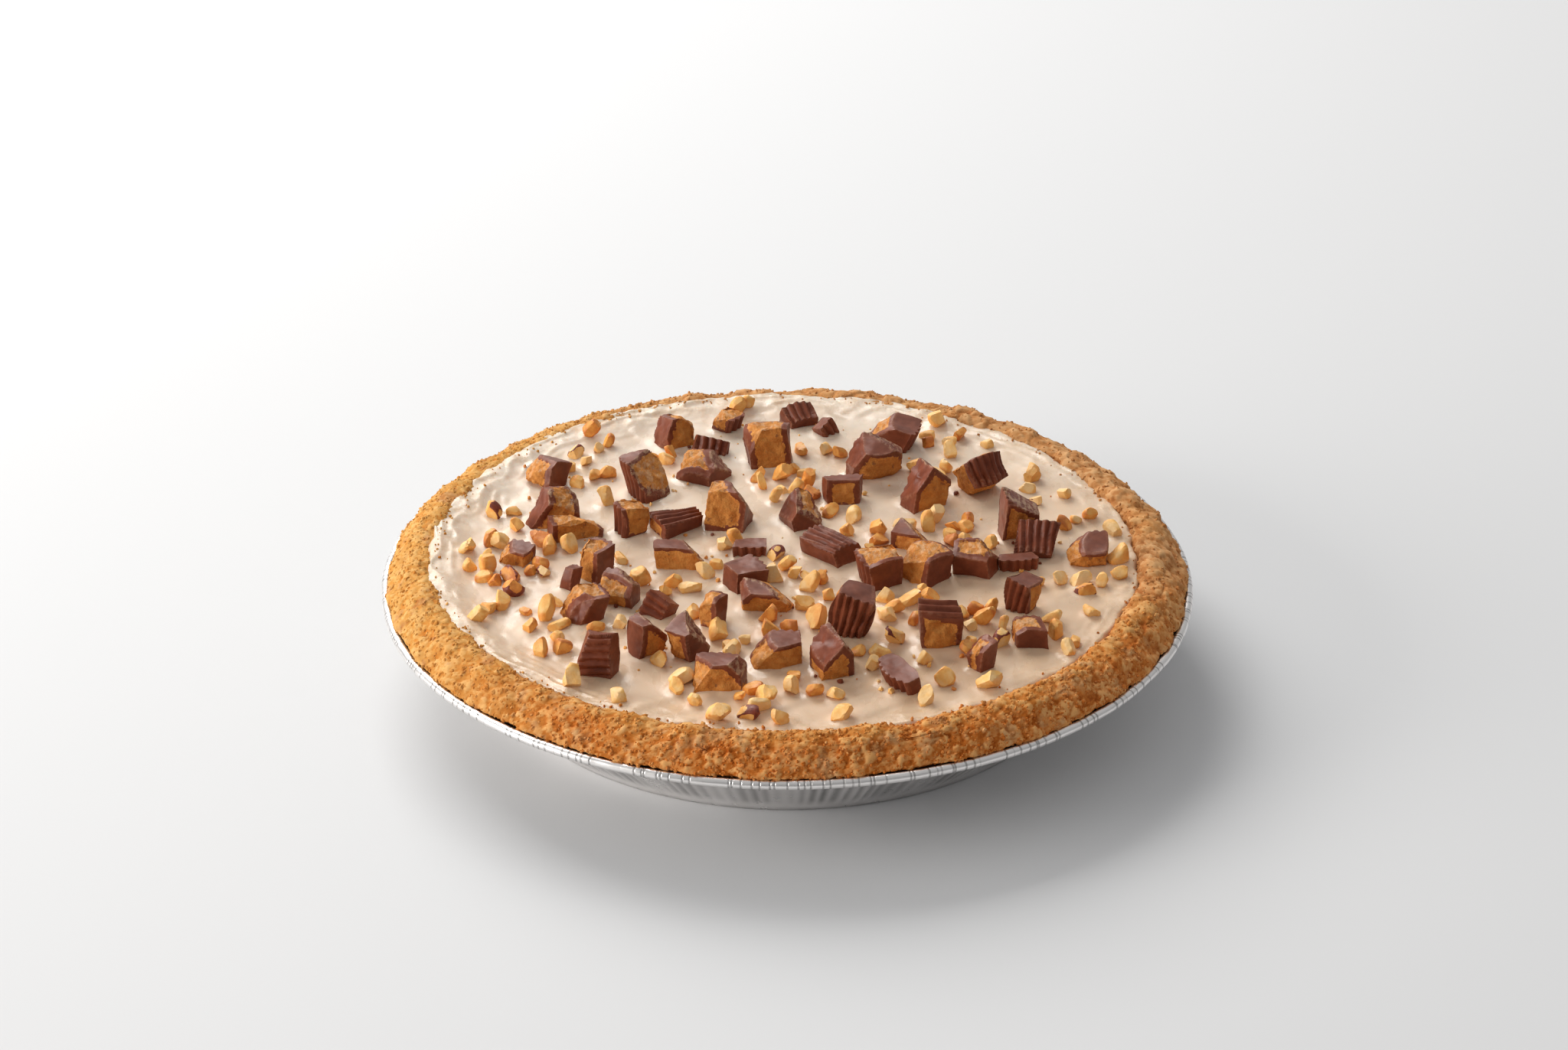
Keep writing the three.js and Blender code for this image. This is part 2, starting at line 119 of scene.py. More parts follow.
def ease(value, low, high):
    """A smooth step: 0 below low, 1 above high, an S-shaped rise between."""
    share = np.clip((value - low) / (high - low), 0, 1)
    return share * share * (3 - 2 * share)


print("noise at the middle:", round(float(swell(np.zeros((1, 3)) + 0.5, 1.0)[0]), 3))

# %% [markdown]
# ## From arrays to meshes
# Every piece starts as an array of points and arrays of faces. They could be added one by one, but
# `foreach_set` hands whole arrays to Blender at once, which is far quicker. Numbers stored on the points,
# such as a crumb's tone and the painted shade on it, stay with the mesh, and a material reads them by name.


# %% New pieces
def new_piece(name, points, faces, slot, material, smooth=True, sharp=None, **values):
    """A mesh object from points in millimetres and lists of faces with 3 or 4 corners. Edges that turn by
    more than the angle sharp, in degrees, are shaded as edges. Each further named array becomes a number
    stored on the points, for the material to read."""
    mesh = bpy.data.meshes.new(name)
    points = np.asarray(points, np.float32).reshape(-1, 3)
    corners = np.concatenate([group.ravel() for group in faces]).astype(np.int32)
    counts = np.concatenate([np.full(len(group), group.shape[1]) for group in faces])
    starts = np.concatenate([[0], np.cumsum(counts)[:-1]]).astype(np.int32)
    mesh.vertices.add(len(points))
    mesh.vertices.foreach_set("co", (points * np.float32(MM)).ravel())
    mesh.loops.add(len(corners))
    mesh.loops.foreach_set("vertex_index", corners)
    mesh.polygons.add(len(counts))
    mesh.polygons.foreach_set("loop_start", starts)
    mesh.update(calc_edges=True)
    mesh.polygons.foreach_set("use_smooth", np.full(len(counts), smooth))
    if sharp:
        mesh.set_sharp_from_angle(angle=np.radians(sharp))
    for label, numbers in values.items():
        layer = mesh.attributes.new(label, "FLOAT", "POINT")
        layer.data.foreach_set("value", np.asarray(numbers, np.float32).ravel())
    mesh.materials.append(material)
    piece = bpy.data.objects.new(name, mesh)
    bpy.context.scene.collection.objects.link(piece)
    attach(piece, "root")
    print(name, "triangles:", int((counts - 2).sum()))
    return piece


# %% [markdown]
# ## Turned shapes
# The tin, the crumb shell and the cream are turned shapes: a profile of radius and height carried round
# the middle. A Screw modifier could do that too, but with arrays every point can still be moved by a
# formula. The grid of points becomes quads between neighbours, and a fan closes each end on the axis.


# %% Turned shapes
def around(columns):
    """The angles of that many columns round the axis."""
    return np.linspace(0, 2 * np.pi, columns, endpoint=False)


def carried_round(radius, height, angle):
    """Points of a turned shape: x is radius times cosine, y is radius times sine, z is height."""
    return np.stack([radius * np.cos(angle), radius * np.sin(angle), height + 0 * angle], -1)


def ring_faces(rows, columns):
    """Quads between neighbouring rings, and a fan at each end to a point on the axis."""
    row, column = np.indices((rows - 1, columns))
    here = row * columns + column
    beside = row * columns + (column + 1) % columns
    quads = np.stack([here, beside, beside + columns, here + columns], -1).reshape(-1, 4)
    first = np.arange(columns)
    second = (first + 1) % columns
    last = (rows - 1) * columns
    start = np.full(columns, rows * columns)
    low_fan = np.stack([second, first, start], -1)
    high_fan = np.stack([last + first, last + second, start + 1], -1)
    return [quads, np.concatenate([low_fan, high_fan])]


def with_ends(grid):
    """The grid's points followed by the middle of its first and of its last ring."""
    ends = np.stack([grid[0].mean(0), grid[-1].mean(0)])
    return np.concatenate([grid.reshape(-1, 3), ends])


print("a turned shape of 3 rings and 4 columns has", len(ring_faces(3, 4)[0]), "quads")

# %% [markdown]
# ## Node helpers
# A procedural material is a small graph of nodes. It could be put together by hand in the Shader Editor;
# in a script a few helpers save typing. Each one adds a node, feeds its inputs and gives back its output.


# %% Node helpers
def rgb(red, green, blue):
    """A colour in linear light, opaque."""
    return (red, green, blue, 1.0)


def add_node(tree, kind, **settings):
    """A node with its settings: names that start with a capital are inputs, the others are its options."""
    node = tree.nodes.new(kind)
    for name, value in settings.items():
        if name[0].isupper():
            node.inputs[name.replace("_", " ")].default_value = value
        else:
            setattr(node, name, value)
    return node


def feed(tree, socket, value):
    """Links an output to a socket, or sets the socket to a plain value."""
    if isinstance(value, bpy.types.NodeSocket):
        tree.links.new(value, socket)
    else:
        socket.default_value = value


def blend(tree, share, first, second):
    """A colour between first and second."""
    node = add_node(tree, "ShaderNodeMix", data_type="RGBA")
    for index, value in ((0, share), (6, first), (7, second)):
        feed(tree, node.inputs[index], value)
    return node.outputs[2]


def step_mask(tree, value, low, high, start=0.0, end=1.0):
    """A value that runs smoothly from start to end while its input runs from low to high."""
    node = add_node(tree, "ShaderNodeMapRange", interpolation_type="SMOOTHSTEP")
    for index, number in enumerate((value, low, high, start, end)):
        feed(tree, node.inputs[index], number)
    return node.outputs[0]


def sums(tree, first, second, way="ADD"):
    """Two values put together by a math node."""
    node = add_node(tree, "ShaderNodeMath", operation=way)
    feed(tree, node.inputs[0], first)
    feed(tree, node.inputs[1], second)
    return node.outputs[0]


def times(tree, first, second):
    """Two values multiplied."""
    return sums(tree, first, second, "MULTIPLY")


def noise(tree, size, detail=3.0, stretch=None):
    """Noise whose blobs are that many millimetres across, on the piece's own coordinates."""
    coords = tree.nodes.new("ShaderNodeTexCoord").outputs["Object"]
    if stretch:
        mapping = add_node(tree, "ShaderNodeMapping", Scale=stretch)
        tree.links.new(coords, mapping.inputs["Vector"])
        coords = mapping.outputs["Vector"]
    node = add_node(tree, "ShaderNodeTexNoise", Scale=1 / (size * MM), Detail=detail, Roughness=0.55)
    tree.links.new(coords, node.inputs["Vector"])
    return node.outputs["Fac"]


def stored(tree, label):
    """A number stored on the points of the piece."""
    return add_node(tree, "ShaderNodeAttribute", attribute_name=label).outputs["Fac"]


print("noise with blobs of 5 mm has the scale", round(1 / (5 * MM)))

# %% [markdown]
# ## Effects that finishes share
# Two effects are used by several finishes, so they are node groups, built once and placed with other
# values each time: `mottle` drifts between two colours, and `fine_grain` is a height for the bump of
# crumb, paste and nuts. Both read Object coordinates, so they stay on the piece.

# %% Shared effects
COLOUR = "NodeSocketColor"
NUMBER = "NodeSocketFloat"


def new_group(name, inputs, outputs):
    """An empty shader node group with the named sockets, and its input and output nodes."""
    group = bpy.data.node_groups.new(name, "ShaderNodeTree")
    for label, kind in inputs.items():
        group.interface.new_socket(label, in_out="INPUT", socket_type=kind)
    for label, kind in outputs.items():
        group.interface.new_socket(label, in_out="OUTPUT", socket_type=kind)
    return group, group.nodes.new("NodeGroupInput"), group.nodes.new("NodeGroupOutput")


def make_mottle():
    """Two colours mixed by noise: the noise runs through a smooth step about its middle."""
    wanted = {"Light": COLOUR, "Dark": COLOUR, "Scale": NUMBER, "Middle": NUMBER, "Edge": NUMBER}
    group, given, result = new_group("mottle", wanted, {"Color": COLOUR, "Mask": NUMBER})
    coords = group.nodes.new("ShaderNodeTexCoord").outputs["Object"]
    cloud = add_node(group, "ShaderNodeTexNoise", Detail=4.0, Roughness=0.6)
    group.links.new(coords, cloud.inputs["Vector"])
    group.links.new(given.outputs["Scale"], cloud.inputs["Scale"])
    low = sums(group, given.outputs["Middle"], given.outputs["Edge"], "SUBTRACT")
    high = sums(group, given.outputs["Middle"], given.outputs["Edge"])
    mask = step_mask(group, cloud.outputs["Fac"], low, high)
    colour = blend(group, mask, given.outputs["Light"], given.outputs["Dark"])
    group.links.new(colour, result.inputs["Color"])
    group.links.new(mask, result.inputs["Mask"])
    return group


def make_fine_grain():
    """A height: noise a third as large as the grains, less the distance to the nearest grain's middle."""
    group, given, result = new_group("fine_grain", {"Scale": NUMBER}, {"Height": NUMBER})
    coords = group.nodes.new("ShaderNodeTexCoord").outputs["Object"]
    packed = group.nodes.new("ShaderNodeTexVoronoi")
    rough = add_node(group, "ShaderNodeTexNoise", Detail=3.0)
    for node in (packed, rough):
        group.links.new(coords, node.inputs["Vector"])
    group.links.new(given.outputs["Scale"], packed.inputs["Scale"])
    group.links.new(times(group, given.outputs["Scale"], 3.0), rough.inputs["Scale"])
    height = sums(group, rough.outputs["Fac"], packed.outputs["Distance"], "SUBTRACT")
    group.links.new(height, result.inputs["Height"])
    return group


mottle_group = make_mottle()
fine_grain_group = make_fine_grain()


def mottle(tree, size, middle, edge, light=rgb(1, 1, 1), dark=rgb(0, 0, 0)):
    """The mottle group with a blob size in millimetres and its own colours; gives colour and mask."""
    node = add_node(tree, "ShaderNodeGroup", node_tree=mottle_group)
    wanted = {"Light": light, "Dark": dark, "Scale": 1 / (size * MM), "Middle": middle, "Edge": edge}
    for label, value in wanted.items():
        feed(tree, node.inputs[label], value)
    return node.outputs["Color"], node.outputs["Mask"]


def fine_grain(tree, size):
    """The fine grain group with grains of that many millimetres."""
    node = add_node(tree, "ShaderNodeGroup", node_tree=fine_grain_group, Scale=1 / (size * MM))
    return node.outputs["Height"]


print("node groups:", [group.name for group in bpy.data.node_groups])

# %% [markdown]
# ## A new finish
# Each finish is one Principled shader. It takes its colour and roughness from node graphs, and a bump
# node tilts its normals where relief is too fine for the mesh.


# %% Finish helpers
def new_finish(name, **sockets):
    """A material with one Principled shader; the given sockets are set on the shader itself."""
    material = bpy.data.materials.new(name)
    material.use_nodes = True
    shader = material.node_tree.nodes["Principled BSDF"]
    for label, value in sockets.items():
        shader.inputs[label.replace("_", " ")].default_value = value
    return material, material.node_tree, shader


def paint(tree, shader, colour, roughness):
    """Feeds a colour and a roughness to the shader."""
    tree.links.new(colour, shader.inputs["Base Color"])
    tree.links.new(roughness, shader.inputs["Roughness"])


def bump(tree, shader, height, depth, strength=1.0):
    """Feeds a height, that many millimetres deep, to the shader's normal."""
    node = add_node(tree, "ShaderNodeBump", Strength=strength, Distance=depth * MM)
    feed(tree, node.inputs["Height"], height)
    tree.links.new(node.outputs["Normal"], shader.inputs["Normal"])


print("materials so far:", len(bpy.data.materials))

# %% [markdown]
# ## The foil tin
# The tin is pressed from thin foil: a flat base, a wall that leans out and is pleated where the sheet had
# too much length, a narrow flange, and an edge rolled into a bead. One profile carried round the middle
# makes all of it, and noise on the circle moves the pleats off their rhythm.

# %% Tin shape
TIN_BASE = 80.0
TIN_GAUGE = 0.5
TIN_COLUMNS = 1600
BEAD_RADIUS = 1.25
RIM_REACH = 0.2
FLANGE_DROP = 0.7
FLANGE_WIDTH = 5.1
WALL_FOOT = 1.2
PLEATS = 186
PLEAT_DEPTH = 0.42
FLUTES = 32
FLUTE_DEPTH = 0.16
bead_middle = np.array([tin_high[0] + RIM_REACH - BEAD_RADIUS, tin_high[2] - BEAD_RADIUS])
flange_height = bead_middle[1] - FLANGE_DROP
wall_top = bead_middle[0] - FLANGE_WIDTH


def tin_profile():
    """Radius and height from the middle of the base out, up the wall, round the bead and back inside.
    The third column says how much of the wall's pleats and painted shade a point takes, the fourth its
    share of the bead."""
    base = np.array([[20, 0, 0, 0], [60, 0, 0, 0], [TIN_BASE - 1.5, 0, 0, 0], [TIN_BASE - 0.5, 0.35, 0, 0]])
    share = np.linspace(0, 1, 26)
    wall = np.stack([
        TIN_BASE + share * (wall_top - TIN_BASE),
        WALL_FOOT + share * (flange_height - WALL_FOOT),
        ease(share, 0.0, 0.25) * (1 - 0.75 * ease(share, 0.86, 1.0)),
        0 * share,
    ], 1)
    turn = np.radians(np.linspace(-150, 190, 22))
    bead = np.stack([
        bead_middle[0] + BEAD_RADIUS * np.cos(turn),
        bead_middle[1] + BEAD_RADIUS * np.sin(turn),
        0 * turn,
        0.35 + 0.65 * ease(np.sin(turn + 0.6), -0.6, 0.5),
    ], 1)
    skin = TIN_GAUGE * np.sqrt(0.5)
    inside = wall[[24, 18, 10, 4, 0]] + [-skin, skin, 0, 0]
    floor = np.array([[TIN_BASE - 1.7, TIN_GAUGE, 0, 0], [50, TIN_GAUGE, 0, 0], [20, TIN_GAUGE, 0, 0]])
    return np.concatenate([base, wall, bead, inside, floor])


def tin_points(profile, columns):
    """The profile carried round, with the wall moved out and in by pleats (a cosine of the angle whose phase
    wanders) and by slower flutes, and the bead wavering a little. Also gives each point's painted shade,
    over the whole wall as a painted reflection of the dim floor and darker in the valleys of the pleats,
    its share of the bead and its distance along the rim."""
    angle = around(columns)[None, :]
    radius, height, pleated, beaded = (profile[:, k, None] for k in range(4))
    circle = carried_round(bead_middle[0] + 0 * angle, 0 * angle, angle)
    wander = 2.6 * swell(circle, 17, 1) + 1.3 * swell(circle, 6, 2)
    pleat = np.cos(PLEATS * angle + wander) * (0.55 + 0.45 * swell(circle, 11, 3))
    fold = PLEAT_DEPTH * pleat + FLUTE_DEPTH * np.cos(FLUTES * angle)
    waver = 0.22 * swell(circle, 14, 7) + 0.1 * swell(circle, 3.2, 8)
    outer = np.where(radius > bead_middle[0] - 0.6, 1.0, 0.45)
    moved = radius + pleated * fold + outer * (beaded * waver)
    lifted = height + beaded * 0.12 * swell(circle, 21, 9)
    # shade is painted shade: the wall darkened as a painted reflection of the dim floor, more in the valleys
    # of the pleats.
    marks = {"shade": pleated * (0.41 - 0.7 * fold), "bead": beaded, "along": angle * bead_middle[0]}
    return carried_round(moved, lifted, angle), {k: v + 0 * moved for k, v in marks.items()}


tin_grid, tin_marks = tin_points(tin_profile(), TIN_COLUMNS)
print("tin rim reaches", round(float(np.linalg.norm(tin_grid[..., :2], axis=-1).max()), 2), "mm")

# %% [markdown]
# ## The tin's finish
# Rolled foil is bright metal with a soft shine, which a metallic Principled shader with a drifting
# roughness gives. The bead is crimped by short strokes, too thin for the mesh, so the finish draws them
# as a bump and as painted shade: each point knows how far along the rim it lies, and cells along that
# one line give the crimps their uneven places. The wall is darkened by painted shade too, most in the
# valleys of its pleats.

# %% Tin finish
CRIMP_SPACING = 2.2
CRIMP_GROUP = 9


def crimps(tree):
    """A mask of thin strokes across the bead: the places nearest to the middles of cells along the rim, kept
    in groups by slower noise along it."""
    along = stored(tree, "along")
    packed = add_node(tree, "ShaderNodeTexVoronoi", voronoi_dimensions="1D", Scale=1 / CRIMP_SPACING)
    drift = add_node(tree, "ShaderNodeTexNoise", noise_dimensions="1D", Scale=1 / CRIMP_GROUP)
    for node in (packed, drift):
        tree.links.new(along, node.inputs["W"])
    stroke = step_mask(tree, packed.outputs["Distance"], 0.07, 0.16, 1.0, 0.0)
    grouped = step_mask(tree, drift.outputs["Fac"], 0.4, 0.5)
    on_bead = step_mask(tree, stored(tree, "bead"), 0.3, 0.5)
    return times(tree, times(tree, stroke, grouped), on_bead)


def foil_finish():
    """Metal whose roughness drifts over a few millimetres, duller on the bead, with painted shade on the
    wall, in the valleys of its pleats and in the crimps.
    """
    material, tree, shader = new_finish("pressed_foil", Metallic=1.0)
    tint, _ = mottle(tree, 9.0, 0.52, 0.2, rgb(0.89, 0.865, 0.85), rgb(0.85, 0.82, 0.8))
    stroke = crimps(tree)
    # Painted shade: darker over the wall, in the valleys of its pleats and in the crimps.
    wall_shade = step_mask(tree, stored(tree, "shade"), 0.0, 1.0)
    shade = sums(tree, wall_shade, times(tree, stroke, 0.6))
    cloud = step_mask(tree, noise(tree, 5.0, 5.0), 0.3, 0.7, 0.27, 0.34)
    dull = step_mask(tree, stored(tree, "bead"), 0.3, 1.0, 0.0, 0.05)
    paint(tree, shader, blend(tree, shade, tint, rgb(0.2, 0.19, 0.185)), sums(tree, cloud, dull))
    bump(tree, shader, stroke, -0.15, 0.6)
    return material


foil = foil_finish()
tin = new_piece(
    "foil_tin_skin", with_ends(tin_grid), ring_faces(*tin_grid.shape[:2]), "foil", foil,
    **{label: np.append(values, [0, 0]) for label, values in tin_marks.items()},
)
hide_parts("foil_tin")

# %% [markdown]
# ## The crumb shell
# The shell is biscuit crumb pressed with butter into the tin, with a rounded lip over the flange. Its
# section could be drawn as a curve and turned; here it is one smooth line through a few corners, carried
# round with the slow swells that the solid's lip has.

# %% Crumb shell shape
LIP_TOP = 35.0
LIP_OUT = 109.3
LIP_IN = 95.8
CREAM_LEVEL = 33.3
CRUST_COLUMNS = 1320
LIP_ROWS = 58


def even_line(line, count):
    """The same line with its points spaced evenly along it."""
    line = np.asarray(line, float)
    steps = np.linalg.norm(np.diff(line, axis=0), axis=1)
    length = np.concatenate([[0], np.cumsum(steps)])
    even = np.linspace(0, length[-1], count)
    return np.stack([np.interp(even, length, line[:, k]) for k in (0, 1)], 1)


def smooth_line(corners, count):
    """Evenly spaced points on a smooth line through the corners: in each span a cubic whose slope at a
    corner is half the step between that corner's neighbours."""
    corners = np.asarray(corners, float)
    ends = (2 * corners[:1] - corners[1:2], 2 * corners[-1:] - corners[-2:-1])
    padded = np.concatenate([ends[0], corners, ends[1]])
    travel = np.linspace(0, len(corners) - 1, 50 * len(corners))
    span = np.minimum(travel.astype(int), len(corners) - 2)
    s = (travel - span)[:, None]
    a, b, c, d = (padded[span + k] for k in range(4))
    line = b + 0.5 * s * (c - a + s * (2 * a - 5 * b + 4 * c - d + s * (3 * b - a - 3 * c + d)))
    return even_line(line, count)


def crags(angle, height):
    """The slow swells of the solid's lip: sines of 7, 13, 29 and 41 waves round the pie."""
    slow = np.sin(7 * angle + 0.8) + np.sin(13 * angle + 2.1)
    quick = np.sin(29 * angle + height) + np.sin(41 * angle - 0.7 * height)
    return 0.22 * slow + 0.28 * quick


def crust_grid():
    """The closed dish as rings: hidden underside, the lip as one smooth line, and the hidden inside."""
    under = [[30, 0.8], [77.8, 0.8], [78.4, 2.6], [102.1, 25.5], [104.6, 26.7]]
    lip = smooth_line([
        [bead_middle[0] - 2.6, flange_height + 0.9],
        [bead_middle[0] - 1.4, flange_height + 1.7],
        [LIP_OUT + 0.1, LIP_TOP - 7.0],
        [LIP_OUT - 0.1, LIP_TOP - 5.8],
        [LIP_OUT - 3.5, LIP_TOP - 2.7],
        [LIP_OUT - 6.4, LIP_TOP - 0.7],
        [LIP_IN + 3.6, LIP_TOP],
        [LIP_IN + 0.9, LIP_TOP - 0.8],
        [LIP_IN, CREAM_LEVEL - 1.8],
    ], LIP_ROWS)
    within = [[77, 8.6], [73.6, 7.2], [30, 7.2]]
    profile = np.concatenate([under, lip, within])
    rows = np.arange(len(profile))[:, None]
    past_lip = ease(rows, len(profile) - 5, len(profile) - 3)
    on_lip = ease(rows, len(under) - 1, len(under) + 3) * (1 - past_lip)
    angle = around(CRUST_COLUMNS)[None, :]
    radius, height = profile[:, :1], profile[:, 1:]
    swells = on_lip * crags(angle, height)
    moved = radius + np.where(radius > LIP_OUT - 6, 0.6, -0.3) * swells
    raised = height + 0.8 * swells * ease(height, LIP_TOP - 4, LIP_TOP - 1.5)
    return carried_round(moved, raised, angle), on_lip


plain_crust, lip_share = crust_grid()
print("plain lip reaches", round(float(plain_crust[..., 2].max()), 2), "mm")

# %% [markdown]
# ## The grain of the lip
# The lip is a packed mass of grains of about a millimetre, with lumps where the crumb clumped. A Displace
# modifier could raise them from a texture, but here each grain has a tone of its own as well, so they are
# computed: `cells` is the pattern of packed grains, and a point takes its height and tone from the nearest.

# %% Crumb grains
CLUMP_SIZE = 5.0
COARSE_SIZE = 2.3
FINE_SIZE = 1.3
PIT_LIMIT = 0.75


def cells(points, size, seed=0):
    """Packed grains: each cube of the lattice holds one grain at a drawn place. Gives the distance to the
    nearest grain's middle, in grain sizes, and that grain's own number from 0 to 1."""
    place = np.asarray(points, float) / size
    low = np.floor(place).astype(np.int64)
    nearest = np.full(place.shape[:-1], 9.0)
    number = np.zeros(place.shape[:-1])
    for step in np.ndindex(3, 3, 3):
        cell = low + np.array(step) - 1
        middle = cell + np.stack([lattice(cell, seed + k) for k in (1, 2, 3)], -1)
        distance = np.linalg.norm(middle - place, axis=-1)
        closer = distance < nearest
        nearest = np.where(closer, distance, nearest)
        number = np.where(closer, lattice(cell, seed + 4), number)
    return nearest, number


def grid_normals(grid):
    """Unit normals of rings of points: the cross product of the step round and the step along."""
    round_step = np.roll(grid, -1, 1) - np.roll(grid, 1, 1)
    along_step = np.gradient(grid, axis=0)
    normal = np.cross(round_step, along_step)
    return normal / np.maximum(np.linalg.norm(normal, axis=-1, keepdims=True), 1e-9)


def facing(points, heading):
    """The cosine of the angle between each point's direction from the middle and a heading in degrees: 0 is
    to the right and 90 to the back."""
    return np.cos(np.arctan2(points[..., 1], points[..., 0]) - np.radians(heading))


def craggy(points):
    """How clumped the lip is: fully at the back and right, not at all on the opposite side."""
    return ease(facing(points, 35), 0.0, 0.8)


def smooth_side(points):
    """How smoothly the lip was pressed: fully on the left, not at all on the right."""
    return ease(facing(points, 190), 0.3, 0.9)


def rounded(distance):
    """A grain's height: half, less the square of the distance from its middle, which is held at a limit so
    that no pits form where grains meet."""
    return 0.5 - np.minimum(distance, PIT_LIMIT) ** 2


def crumbled(grid, on_lip):
    """Moves the lip along its normals: lumps of 8 and 3.6 mm, clumps where it is craggy, and coarse and fine
    grains, each rounded off, at its own height and lower on the left. Also gives each point a tone: its
    grains' own, with painted shade, lighter where they stand high and darker in the hollows between them."""
    clump, clump_tone = cells(grid, CLUMP_SIZE, 25)
    large, large_tone = cells(grid, COARSE_SIZE, 20)
    small, small_tone = cells(grid, FINE_SIZE, 30)
    rough = craggy(grid)
    calm = 1 - 0.25 * smooth_side(grid)
    lumps = (1 + rough) * (0.4 * swell(grid, 8, 11) + 0.3 * swell(grid, 3.6, 12))
    clumps = rough * (0.9 * (0.4 - clump**2) + 0.9 * (clump_tone - 0.5))
    coarse = calm * (1 - 0.35 * rough) * (0.42 * rounded(large) + 0.4 * (large_tone - 0.5))
    fine = calm * (1 - 0.45 * rough) * (0.34 * rounded(small) + 0.26 * (small_tone - 0.5))
    height = on_lip * (lumps + clumps + coarse + fine - 0.2)
    # The tone carries painted shade: lighter where grains and clumps stand high, darker in the hollows.
    tone = (
        0.5 + 0.25 * (large_tone - 0.5) + 0.45 * (small_tone - 0.5)
        + 0.55 * (coarse + fine) + 0.3 * clumps
    )
    return grid + height[..., None] * grid_normals(grid), tone


crust_points, crust_tone_and_shade = crumbled(plain_crust, lip_share)
crust_skin = grid_normals(crust_points)
print("lip of the crumb shell reaches", round(float(crust_points[..., 2].max()), 2), "mm")

# %% [markdown]
# ## The crumb's finish
# Biscuit crumb is golden, and each grain has its own tone, from brown toasted flecks to pale floury ones.
# The tone stored on the points, with its painted shade, picks a colour from a ramp. Two more stored
# numbers make the lip darker and more orange in front and on the right, toasted colour mixed with
# painted shade, and paler and greyer at the back, floury dust mixed with painted light where light
# glances; patches of loose floury dust lighten it in between. It is matt, with hardly any shine.

# %% Crumb finish
TONE_STOPS = (0.05, 0.45, 0.95)
PALE_CRUMB = ((0.6, 0.2, 0.026), (0.605, 0.29, 0.068), (0.73, 0.42, 0.145))
# This ramp stands for toasted crumb and painted shade on the front and right.
TOASTED_AND_SHADED_CRUMB = ((0.34, 0.07, 0.004), (0.55, 0.155, 0.022), (0.77, 0.38, 0.13))
FLOURY_CRUMB = ((0.36, 0.135, 0.04), (0.5, 0.22, 0.076), (0.66, 0.37, 0.17))


def toasting(points):
    """How dark and orange the crumb is made: most in front as painted shade, least at the back, left and
    crest as painted light, drifting over 18 mm as toasted colour.
    """
    crest = ease(points[..., 2], LIP_TOP - 1.6, LIP_TOP + 0.4)
    return (1 - 0.45 * crest) * ease(facing(points, -60) + 0.35 * swell(points, 18, 13), -0.5, 1.0)


def flouriness(points):
    """How pale and grey the crumb is made, floury dust mixed with painted light where light glances: mostly
    at the back, somewhat on the right, drifting over 12 mm.
    """
    return 0.9 * ease(facing(points, 48) + 0.3 * swell(points, 12, 14), -0.15, 0.9)


def colours(tree, share, stops):
    """A colour ramp through the given stops."""
    node = tree.nodes.new("ShaderNodeValToRGB")
    elements = node.color_ramp.elements
    while len(elements) < len(stops):
        elements.new(0.5)
    for element, (place, colour) in zip(elements, stops):
        element.position = place
        element.color = colour
    feed(tree, node.inputs["Fac"], share)
    return node.outputs["Color"]


def crumb_finish():
    """A ramp over each grain's tone; where it is stored, toasted colour and painted shade in front and
    floury dust and painted light at the back; with a shallow bump.
    """
    material, tree, shader = new_finish("pressed_crumb", Specular_IOR_Level=0.08)
    speck = noise(tree, 0.5, 3.0)
    tone = sums(tree, stored(tree, "tone"), step_mask(tree, speck, 0.25, 0.75, -0.1, 0.1))
    pale, dark, floury = (
        colours(tree, tone, [(stop, rgb(*shade)) for stop, shade in zip(TONE_STOPS, shades)])
        for shades in (PALE_CRUMB, TOASTED_AND_SHADED_CRUMB, FLOURY_CRUMB)
    )
    # Painted shade: darker, more orange crumb in front and on the right, mixed with its toasted colour.
    toasted = blend(tree, stored(tree, "toast"), pale, dark)
    _, dust = mottle(tree, 6.5, 0.6, 0.05)
    # Painted light where light glances at the back, mixed with patches of floury dust.
    dust_and_light = sums(tree, times(tree, dust, 0.7), stored(tree, "flour"), "MAXIMUM")
    dusted = blend(tree, dust_and_light, toasted, floury)
    paint(tree, shader, dusted, step_mask(tree, speck, 0.3, 0.7, 0.62, 0.9))
    bump(tree, shader, fine_grain(tree, 0.6), 0.05, 0.5)
    return material


crumb = crumb_finish()
crust_faces = ring_faces(*crust_points.shape[:2])
crust_corners = with_ends(crust_points)
crust = new_piece(
    "crumb_shell", crust_corners, crust_faces, "crumb", crumb,
    tone=np.append(crust_tone_and_shade, [0.5, 0.5]), toast=toasting(crust_corners), flour=flouriness(crust_corners),
)
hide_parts("crumb_crust")

# %% [markdown]
# ## Loose grains on the lip
# Close up, a crumb lip is not a smooth skin but thousands of separate grains. One grain is a small
# twenty-sided stone with its corners pushed in and out. A particle system could scatter them; here
# thousands are one mesh, with the same faces repeated and all the corners worked out in a single array.

# %% Scattering small things
STONE_CORNERS = 12


